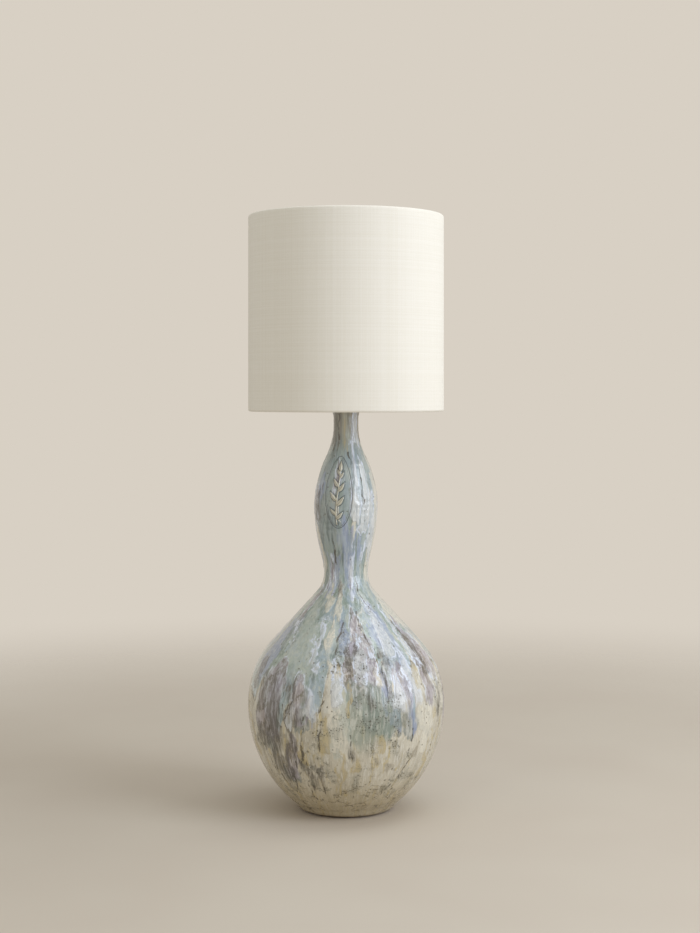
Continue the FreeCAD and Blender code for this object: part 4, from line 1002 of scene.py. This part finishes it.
# %% [markdown]
# ## The gourd: glaze and bare clay
#
# The glaze is one Principled shader. Its colour is built in the order in which the glazes lie: cream
# and ochre below, the blue and sage curtain, then soft patches of slate, mist, blue and moss, the
# mauve windows, the pale runs and the iron lines. Each layer's mask is its distance attribute with
# streaky noise added before the cut, so the edges turn ragged along the flow. The gloss varies with
# the layers, and millimetre bumps break the highlights. Inside and underneath the clay is bare.

# %% Glaze tools
# (kind, raggedness, softness, two tones, cover), in the order in which they lie on the curtain
LAYERS = [("slate", 5.0, 2.2, "#6c7878", "#889292", 0.68),
          ("mist", 5.0, 2.4, "#c4cabe", "#b2bcb4", 0.66),
          ("cream", 2.4, 0.7, "#ded9c8", "#c8c6b8", 0.88),
          ("blue", 4.2, 1.6, "#929ebc", "#aeb8d0", 0.68),
          ("mauve", 3.2, 1.0, "#9c949c", "#b6b1bc", 0.80),
          ("moss", 5.0, 2.2, "#849286", "#a2aea2", 0.66),
          ("dark", 4.0, 1.5, "#565248", "#746c62", 0.74),
          ("ochre", 2.2, 0.7, "#c2b286", "#b0a076", 0.75),
          ("pale", 3.4, 1.1, "#dadddc", "#c6cbd0", 0.82)]
THICKNESS = {"sage": 0.4, "pale": 0.3, "cream": 0.2, "mauve": 0.22, "dark": 0.15}


def stored(tree, name):
    return add(tree, "Attribute", attribute_name=name)["Fac"]


def band(depth, low, middle, high):
    """A band that is 1 at the middle depth and 0 beyond low and high."""
    return fade(depth, low, middle) * fade(depth, high, middle)


class Ragged:
    """Cuts masks from distance attributes. Noise that follows the flow is added first."""

    def __init__(self, place, runny):
        self.tree = place.tree
        self.long = noise(runny, 24.0) - 0.5
        self.short = noise(place, 130.0, 3.0, 0.6) - 0.5
        self.soft = fade(noise(place, 30.0, 2.0), 0.42, 0.62, 0.5, 4.0)

    def depth(self, name, rough):
        return stored(self.tree, name) + (self.long * (rough * 3.2) + self.short * (rough * 1.2))

    def mask(self, depth, soft=1.0):
        """From 0 outside to 1 inside, over a width that is narrow here and wide there."""
        reach = self.soft * soft
        return fade(depth, reach * -0.6, reach)


print("glazes over the curtain:", [layer[0] for layer in LAYERS])

# %% Glaze
def glaze_material():
    material, place, shader = new_material("glaze", IOR=1.52, Coat_Roughness=0.06, Coat_IOR=1.5)
    tree = place.tree
    height = split(place)["Z"]
    runny = use(FLOW, Vector=place, Drop=1.3, Wander=0.05)["Flow"]
    lazy = use(FLOW, Vector=place, Drop=3.2, Wander=0.12)["Flow"]
    broad = noise(lazy, 5.0)
    patchy = noise(lazy, 13.0, 4.0, 0.6)
    streak = noise(runny, 13.0, 4.0, 0.6)
    thin = noise(runny, 38.0, 4.0, 0.65)
    hair = noise(runny, 95.0, 3.0, 0.6)
    mottle = noise(place, 75.0, 4.0, 0.62)
    grit = noise(place, 330.0, 3.0, 0.7)
    ragged = Ragged(place, runny)
    many = use(SPECKS, Vector=place, Scale=480.0, Size=0.42, Share=0.6)["Mask"]
    coarse = use(SPECKS, Vector=place, Scale=250.0, Size=0.36, Share=0.5)["Mask"]
    few = use(SPECKS, Vector=place, Scale=170.0, Size=0.20, Share=0.22)["Mask"]

    # cream and ochre, which everything else lies on, crazed near the foot
    tangle = wired("TexNoise", {"Vector": place, "Scale": 60.0})["Color"]
    crazed = vector_calc("ADD", place, vector_calc("SCALE", tangle, Scale=0.012))
    cells = wired("TexVoronoi", {"Vector": vector_calc("MULTIPLY", crazed, (1, 1, 2.0)), "Scale": 58.0},
                  feature="DISTANCE_TO_EDGE")
    crack = fade(cells["Distance"], 0.06, 0.01) * fade(mottle, 0.46, 0.58)
    base = layered(
        blend(fade(broad, 0.38, 0.62), "#d0cab8", "#bcb6a4"),
        (fade(patchy, 0.50, 0.60) * fade(streak, 0.42, 0.6), "#c4b68e"),
        (fade(thin, 0.52, 0.62, 0.0, 0.7), "#dedbce"),
        (fade(hair, 0.57, 0.66, 0.0, 0.35), "#968c76"),
        (fade(mottle, 0.53, 0.60) * fade(patchy, 0.46, 0.58, 0.0, 0.6), "#968e7c"),
        (fade(height, 0.075, 0.014, 0.0, 0.6), "#b2a27c"),
        (crack * fade(height, 0.072, 0.04, 0.0, 0.7), "#625844"))

    # the curtain: sage over the shoulder, bluer on the lobe, olive on the neck, with painted shadow under
    # its edge
    olive = blend(fade(streak, 0.42, 0.58), "#7c7668", "#a69e8a")
    sage = layered(
        blend(fade(broad, 0.40, 0.60), "#a4b2a8", "#9eaeb4"),
        (fade(patchy, 0.48, 0.60, 0.0, 0.8), "#b8beb4"),
        (fade(streak, 0.48, 0.60, 0.0, 0.8), "#86968a"),
        (fade(thin, 0.53, 0.60, 0.0, 0.4), "#ccd4d2"),
        (fade(hair, 0.58, 0.65, 0.0, 0.25), "#6c746c"),
        (fade(mottle, 0.54, 0.61) * fade(patchy, 0.46, 0.58, 0.0, 0.5), "#747c72"),
        (fade(height, 0.30, 0.36, 0.0, 0.4), "#96a2a2"),
        (fade(height, 0.455, 0.50, 0.0, 0.85), olive))
    depth = ragged.depth("sage", 4.0)
    masks = {"sage": ragged.mask(depth)}
    # a dark line just below the curtain's edge is painted shadow, as if cast by its thick edge
    painted_shadow_line = band(depth, -4.0, -1.0, 0.4) * fade(streak, 0.44, 0.56) * fade(mottle, 0.40, 0.55)
    over_rim = band(depth, 0.0, 2.0, 6.0) * fade(thin, 0.46, 0.58)
    tone = layered(base, (masks["sage"], sage), (painted_shadow_line, "#544e40"),
                   (over_rim, "#d4dce2"))

    # the other pours, two of which have marks of their own and a pale rim that is partly painted highlight
    marks = {"mauve": [(fade(streak, 0.50, 0.60, 0.0, 0.7), "#887f7a"),
                       (fade(thin, 0.54, 0.60, 0.0, 0.6), "#cccad8"),
                       (fade(mottle, 0.52, 0.60) * fade(patchy, 0.42, 0.56), "#6c645c")],
             "pale": [(fade(hair, 0.54, 0.64, 0.0, 0.5), "#aaaca6")]}
    for kind, rough, soft, first, second, cover in LAYERS:
        depth = ragged.depth(kind, rough)
        masks[kind] = ragged.mask(depth, soft)
        own = layered(blend(fade(thin, 0.44, 0.58), first, second), *marks.get(kind, ()))
        tone = blend(masks[kind] * fade(thin, 0.62, 0.45, cover * 0.6, cover), tone, own)
        if kind in marks:
            # the pale rim is a glaze edge that also carries a painted glint, so it is partly painted
            # highlight
            rim = band(depth, -3.4, -0.8, 1.2) * fade(height, 0.13, 0.19) * fade(patchy, 0.44, 0.54)
            tone = blend(rim, tone, "#d6deea")

    # iron: flecked patches, thin lines and single specks
    patch = ragged.mask(ragged.depth("fleck", 6.0), 2.2)
    specks = most(many, coarse)
    dots = specks * patch * fade(mottle, 0.44, 0.53)
    scattered = specks * fade(mottle, 0.57, 0.63) * fade(patchy, 0.48, 0.56)
    line = fade(ragged.depth("iron", 1.0), -0.1, 0.8) * fade(mottle, 0.34, 0.48)
    tone = layered(tone, (patch * fade(mottle, 0.45, 0.58, 0.0, 0.32), "#7a7c6e"),
                   (dots * 0.85, "#464236"), (scattered * 0.7, "#605a4a"),
                   (line * 0.85, "#524c40"), (few * 0.75, "#5c5444"))

    # the sprig: thin cream glaze on what is raised, dark glaze in what is incised
    leaf, frame_line = stored(tree, "leaf"), stored(tree, "frame_line")
    on_leaf = fade(leaf, -0.1, 0.5)
    veins = on_leaf * fade(calc("ABSOLUTE", stored(tree, "rib")), 0.55, 0.15, 0.0, 0.6)
    ring = fade(calc("ABSOLUTE", frame_line), 0.85, 0.25)
    inner_ring = fade(calc("ABSOLUTE", frame_line + 2.4), 0.6, 0.2, 0.0, 0.5)
    incised = most(veins, band(leaf, -1.4, -0.5, 0.1), ring, inner_ring)
    cream = blend(mottle, "#c4bca0", "#d6d1bc")
    tone = layered(tone, (on_leaf * 0.85, cream), (incised * 0.75, "#545a60"))

    gloss = (1.0 - masks["sage"]) * 0.10 + 0.10 + fade(mottle, 0.48, 0.7, 0.0, 0.18) + dots * 0.2
    dress(shader, Base_Color=tone, Roughness=gloss, Coat_Weight=masks["sage"] * 0.5 + 0.25)
    relief = (thin * 0.5 + hair * 0.08 + mottle * 0.35 + grit * 0.04 + on_leaf * 0.25
              - few * 0.15 - incised * 0.45)
    for kind, thickness in THICKNESS.items():
        relief = relief + masks[kind] * thickness
    bumped(shader, relief, 1.4 * MM, 0.9)
    return material


def clay_material():
    """Bare fired stoneware: the foot ring, the underside and the inside."""
    material, place, shader = new_material("bare_clay", IOR=1.45)
    cloud = use(CLOUDY, Vector=place, Scale=38.0, Contrast=1.6)["Tone"]
    grog = use(SPECKS, Vector=place, Scale=420.0, Size=0.3, Share=0.3)["Mask"]
    tone = layered(blend(cloud, "#b0987a", "#c6b294"), (grog * 0.7, "#705a44"))
    dress(shader, Base_Color=tone, Roughness=fade(cloud, 0.0, 1.0, 0.78, 0.9))
    bumped(shader, noise(place, 700.0, 4.0), 0.3 * MM)
    return material


GLAZE = glaze_material()
CLAY = clay_material()
print("glaze:", len(GLAZE.node_tree.nodes), "nodes")

# %% Build the gourd
def dress_gourd(gourd):
    """The second slot's bare clay goes on every face whose corners are all bare."""
    mesh = gourd.data
    mesh.materials.clear()
    mesh.materials.append(GLAZE)
    mesh.materials.append(CLAY)
    bare = np.empty(len(mesh.vertices), np.float32)
    mesh.attributes["bare"].data.foreach_get("value", bare)
    slots = [int(min(bare[v] for v in face.vertices) > 0.5) for face in mesh.polygons]
    mesh.polygons.foreach_set("material_index", slots)


gourd = turn("gourd", gourd_rows(), COLUMNS, GLAZE)
cut_outlet(gourd)
shape_gourd(gourd)
dress_gourd(gourd)
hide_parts("gourd_body")
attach(gourd, "base")
print("gourd:", sum(len(f.vertices) - 2 for f in gourd.data.polygons), "triangles")

# %% [markdown]
# ## The linen of the shade
#
# The shade is linen on a stiff backing, so it is straight and tight, with no folds. It is rolled over
# the two wire rings and turned in at the top and the bottom, and its ends lap in one upright seam at
# the back. Three slits in the turned-in edge let the arms of the fitter through. The form is turned
# from the CAD's cross-section, the lap is a low step, and the weave is a bump on the UV map, because
# threads of a fraction of a millimetre are too fine for a mesh.

# %% Linen
SHADE_RADIUS = 127  # millimetres
LAP = (-6.5, 6.0)  # millimetres each side of the middle of the back
LAP_HEIGHT = 0.45 * MM
LAP_FADE = (0.1252, 0.1268)
ARM_ANGLES = (90, 210, 330)
SLIT_SIZE = (5.7, 5.0, 11.65)
SLIT_MIDDLE = (121.3, 761.37)  # radius and height
LINEN_COLUMNS = 384


def linen_material():
    material, place, shader = new_material("linen", Sheen_Weight=0.25, Sheen_Roughness=0.5, IOR=1.4,
                                           Sheen_Tint="#faf6ec", Specular_IOR_Level=0.25)
    cloth = add(place.tree, "UVMap", uv_map="UVMap")[0]
    weave = use(WEAVE, Vector=cloth, Threads=1450.0, Slubs=0.35)
    thread, height = weave["Thread Tone"], weave["Height"]
    cloud = use(CLOUDY, Vector=place, Scale=14.0, Contrast=1.2)["Tone"]
    # the darker tint where the weave is low is painted shade between the threads
    tone = layered(blend(fade(thread, 0.25, 0.75), "#eee9db", "#f5f1e6"),
                   (cloud * 0.25, "#eeeadd"),
                   (fade(height, 0.55, 0.2, 0.0, 0.3), "#cec6b2"))
    dress(shader, Base_Color=tone, Roughness=fade(thread, 0.2, 0.8, 0.78, 0.92))
    bumped(shader, thread * 0.4 + height, 0.16 * MM, 0.7)
    return material


def lap_seam(linen):
    """Lifts the upper end of the cloth where it laps over the lower one."""
    points = points_of(linen.data)
    radius = np.hypot(points[:, 0], points[:, 1])
    around = np.arctan2(-points[:, 0], points[:, 1]) * SHADE_RADIUS
    step = smooth(around, LAP[0], LAP[0] + 1.0) * (1 - smooth(around, LAP[1], LAP[1] + 5))
    widen(linen.data, points, 1 + LAP_HEIGHT * step * smooth(radius, *LAP_FADE) / radius)


def cut_slits(linen):
    slits = bmesh.new()
    size = Matrix.Diagonal(Vector(SLIT_SIZE) * MM).to_4x4()
    for angle in ARM_ANGLES:
        place = Matrix.Rotation(math.radians(angle), 4, "Z") @ Matrix.Translation(
            Vector((SLIT_MIDDLE[0], 0, SLIT_MIDDLE[1])) * MM)
        bmesh.ops.create_cube(slits, size=1.0, matrix=place @ size)
    cut_away(linen, slits)


linen_rows = rows_along(thin_rows(seam_of("shade_fabric"), 0.15 * MM), lambda radius, height: 12 * MM)
linen = turn("linen", linen_rows, LINEN_COLUMNS, linen_material())
lap_seam(linen)
cut_slits(linen)
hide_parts("shade_fabric")
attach(linen, "shade")

# %% [markdown]
# ## The felt under the foot
#
# A disc of wool felt keeps the stoneware off the table. It is a sheet that lies flat, two millimetres
# thick, so it is a turned form with a soft edge that was cut with scissors and isn't quite round.

# %% Felt
FELT_COLUMNS = 144
FELT_EDGE = [(-0.9, 0.0), (-0.25, 0.18), (0.0, 0.5), (-0.25, 0.82), (-0.9, 1.0)]  # mm and share
SCISSOR_FADE = (0.045, 0.0535)


def felt_material():
    material, place, shader = new_material("felt", Sheen_Weight=0.5, Sheen_Roughness=0.6, IOR=1.4,
                                           Sheen_Tint="#96928a", Specular_IOR_Level=0.15)
    cloud = use(CLOUDY, Vector=place, Scale=60.0, Contrast=1.5)["Tone"]
    fibre = noise(place, 900.0, 5.0, 0.75, 1.5)
    tone = layered(blend(cloud, "#3e3a36", "#504c46"), (fade(fibre, 0.5, 0.72), "#7c766c"))
    dress(shader, Base_Color=tone, Roughness=fade(fibre, 0.3, 0.7, 0.98, 0.86))
    bumped(shader, fibre, 0.35 * MM, 0.9)
    return material


def felt_rows():
    radius, _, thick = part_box("felt_pad")[1]
    rim = [(radius + off * MM, share * thick) for off, share in FELT_EDGE]
    inner = [radius * share for share in (0.0, 0.3, 0.6, 0.85)]
    return np.array([(r, 0.0) for r in inner] + rim + [(r, thick) for r in inner[::-1]])


def scissor_edge(felt):
    points = points_of(felt.data)
    radius = np.maximum(np.hypot(points[:, 0], points[:, 1]), TOUCHING)
    angle = np.arctan2(points[:, 1], points[:, 0])
    wave = 1 + np.sin(3 * angle + 1) * 0.6 + np.sin(11 * angle) * 0.25 + np.sin(29 * angle) * 0.15
    widen(felt.data, points, 1 - 0.35 * wave * MM * smooth(radius, *SCISSOR_FADE) / radius)


felt = turn("felt", felt_rows(), FELT_COLUMNS, felt_material())
scissor_edge(felt)
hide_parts("felt_pad")
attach(felt, "base")
print("felt:", len(felt.data.polygons), "faces")

# %% [markdown]
# ## Metals
#
# The harp, the cap, the saddle and the socket are satin brass under lacquer: a warm metal whose gloss
# is uneven, with fine scratches along the way it was polished. The rod and its nuts are zinc-plated
# steel, the bulb's base is rolled aluminium. They differ in colour, scratches and roughness only, so
# one function makes all three. Threads too fine to model are a bump that climbs in a helix.

# %% Metal materials
BRASS_TONES = ("#d6bc88", "#c4a670")
STEEL_TONES = ("#b2b2b0", "#9ea0a6")
FINE_PITCH = 0.94 * MM
FINE_DEPTH = 0.45 * MM
STUD_THREAD = (0.7445, 0.7560)


def make_helix():
    tree, given, output = new_group(
        "screw thread", {"Vector": "Vector", "Pitch": FINE_PITCH, "Low": 0.0, "High": 1.0},
        {"Height": "Float"})
    place = split(given["Vector"])
    height = place["Z"]
    climb = height / given["Pitch"] - calc("ARCTAN2", place["Y"], place["X"]) / math.tau
    between = calc("GREATER_THAN", height, given["Low"]) * calc("LESS_THAN", height, given["High"])
    join(calc("PINGPONG", climb, 0.5) * 2.0 * between, output["Height"])
    return tree


def metal_material(name, tones, gloss, lacquer=0.0, thread=None):
    material, place, shader = new_material(name, Metallic=1.0, Coat_Roughness=0.12, Coat_Weight=lacquer)
    cloud = use(CLOUDY, Vector=place, Scale=55.0, Contrast=1.8)["Tone"]
    scratch = use(SCRATCHES, Vector=place, Scale=260.0, Stretch=0.12)["Mask"]
    tone = layered(blend(cloud, *tones), (scratch * 0.25, "#f0e8d6"))
    dress(shader, Base_Color=tone, Roughness=cloud * 0.14 + gloss + scratch * 0.12)
    if thread is None:
        bumped(shader, scratch, 0.03 * MM, 0.4)
    else:
        helix = use(HELIX, Vector=place, Pitch=FINE_PITCH, Low=thread[0], High=thread[1])["Height"]
        bumped(shader, scratch * 0.05 + helix, FINE_DEPTH)
    return material


HELIX = make_helix()
BRASS = metal_material("satin_brass", BRASS_TONES, 0.24, lacquer=0.35)
STUD = metal_material("threaded_brass", BRASS_TONES, 0.24, lacquer=0.2, thread=STUD_THREAD)
STEEL = metal_material("zinc_steel", STEEL_TONES, 0.34)
ROD = metal_material("threaded_rod", STEEL_TONES, 0.36, thread=(0.0, 1.0))
ALUMINIUM = metal_material("rolled_aluminium", ("#cececc", "#bcbdbe"), 0.28)
SOLDER = metal_material("solder", ("#c4c5c8", "#a4a6ac"), 0.40)
print("metals:", [m.name for m in (BRASS, STUD, STEEL, ROD, ALUMINIUM, SOLDER)])

# %% [markdown]
# ## Enamel, moulded parts, card and glass
#
# The rings and the fitter are wire dipped in white enamel, which lies a little uneven. The switch knob
# and the block inside the socket are moulded phenolic, dark with paler flow marks. The bush is rubber,
# the liner is fibre card. The bulb is white on the inside, so its glass looks like smooth milk.

# %% Other materials
def plain_material(name, tones, gloss, spots, spot_share, grain, relief, **even_values):
    """A matt or glossy body colour with clouds, small spots and a fine grain."""
    material, place, shader = new_material(name, **even_values)
    cloud = use(CLOUDY, Vector=place, Scale=grain / 12, Contrast=1.5)["Tone"]
    spot = use(SPECKS, Vector=place, Scale=grain, Size=0.3, Share=spot_share)["Mask"]
    dress(shader, Base_Color=layered(blend(cloud, *tones), (spot * 0.5, spots)),
          Roughness=fade(cloud, 0.0, 1.0, gloss, gloss + 0.12))
    bumped(shader, noise(place, grain), relief)
    return material


ENAMEL = plain_material("white_enamel", ("#eeece6", "#e6e3db"), 0.28,
                        "#d6d0c2", 0.06, 500.0, 0.05 * MM, Coat_Weight=0.3)
BACKING = plain_material("backing", ("#f1efe9", "#eae7df"), 0.55,
                         "#e2ddd0", 0.1, 260.0, 0.04 * MM)
PHENOLIC = plain_material("phenolic", ("#261f1b", "#382d26"), 0.22,
                          "#56463a", 0.12, 420.0, 0.03 * MM, Coat_Weight=0.15)
RUBBER = plain_material("rubber", ("#302e2c", "#3c3936"), 0.62,
                        "#5c5852", 0.12, 600.0, 0.08 * MM)
CARD = plain_material("fibre_card", ("#b09a78", "#9e8968"), 0.82,
                      "#7a664a", 0.2, 700.0, 0.10 * MM)
BULB = plain_material("milk_glass", ("#f3f2ed", "#edece6"), 0.10,
                      "#e8e6df", 0.05, 240.0, 0.01 * MM, Coat_Weight=0.6,
                      Coat_Roughness=0.03, IOR=1.5)
DARK_GLASS = plain_material("dark_glass", ("#16161a", "#222126"), 0.08,
                            "#3a383e", 0.08, 380.0, 0.02 * MM)
print("others:", [m.name for m in (ENAMEL, BACKING, PHENOLIC, RUBBER, CARD, BULB, DARK_GLASS)])

# %% [markdown]
# ## Screw threads of the bulb and its socket
#
# Both threads are rolled into thin metal, so the wall keeps its thickness and its whole section moves
# in and out along a helix. That is the turned form again, with a thread's pitch and depth. The shell
# in the socket is shallower than the bulb's base, which leaves room between them as it turns.

# %% Screw base and screw shell
BULB_PITCH = 3.62 * MM
THREAD_COLUMNS = 96
BASE_LOW, BASE_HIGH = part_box("bulb_base")
SHELL_LOW, SHELL_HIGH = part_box("screw_shell")


def threaded(name, node, body, material, depth, low, high):
    rows = rows_along(seam_of(node), lambda radius, height: 0.5 * MM)
    piece = turn(name, rows, THREAD_COLUMNS, material, Thread_Pitch=BULB_PITCH, Thread_Depth=depth,
                 Thread_Low=low, Thread_High=high)
    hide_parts(node)
    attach(piece, body)
    print(name + ":", len(piece.data.polygons), "faces")


threaded("bulb_thread", "bulb_base", "bulb", ALUMINIUM, 0.45 * MM,
         BASE_LOW.z + 2 * MM, BASE_HIGH.z - 4 * MM)
threaded("socket_thread", "screw_shell", "base", BRASS, 0.16 * MM,
         SHELL_LOW.z + 4 * MM, SHELL_HIGH.z - 1.5 * MM)

# %% [markdown]
# ## Dress the CAD pieces
#
# The other pieces have the right shape already, so they keep their CAD mesh, and only the material in
# their slot changes. One table says which finish goes on which piece.

# %% Materials of the CAD pieces
FINISHES = {
    "brass": (BRASS, ["neck_cap", "neck_nut", "harp_saddle", "harp", "sleeve_left", "sleeve_right",
                      "socket_cap", "socket_shell", "centre_contact", "switch_shaft", "finial"]),
    "stud": (STUD, ["harp_seat"]),
    "steel": (STEEL, ["base_washer", "spring_washer", "base_nut", "terminal_screws"]),
    "rod": (ROD, ["lamp_rod"]),
    "solder": (SOLDER, ["bulb_contact"]),
    "enamel": (ENAMEL, ["shade_top_ring", "shade_bottom_ring", "shade_fitter"]),
    "backing": (BACKING, ["shade_backing"]),
    "phenolic": (PHENOLIC, ["switch_knob", "socket_core"]),
    "rubber": (RUBBER, ["cord_bush"]),
    "card": (CARD, ["socket_liner"]),
    "bulb": (BULB, ["bulb_glass"]),
    "dark glass": (DARK_GLASS, ["bulb_insulator"]),
}
for material, names in FINISHES.values():
    for name in names:
        for slot in nodes[name].material_slots:
            slot.material = material
dressed = {name for _, names in FINISHES.values() for name in names}
replaced = {"gourd_body", "shade_fabric", "felt_pad", "bulb_base", "screw_shell"}
print("dressed:", len(dressed), "left over:", sorted(set(nodes) - dressed - replaced))
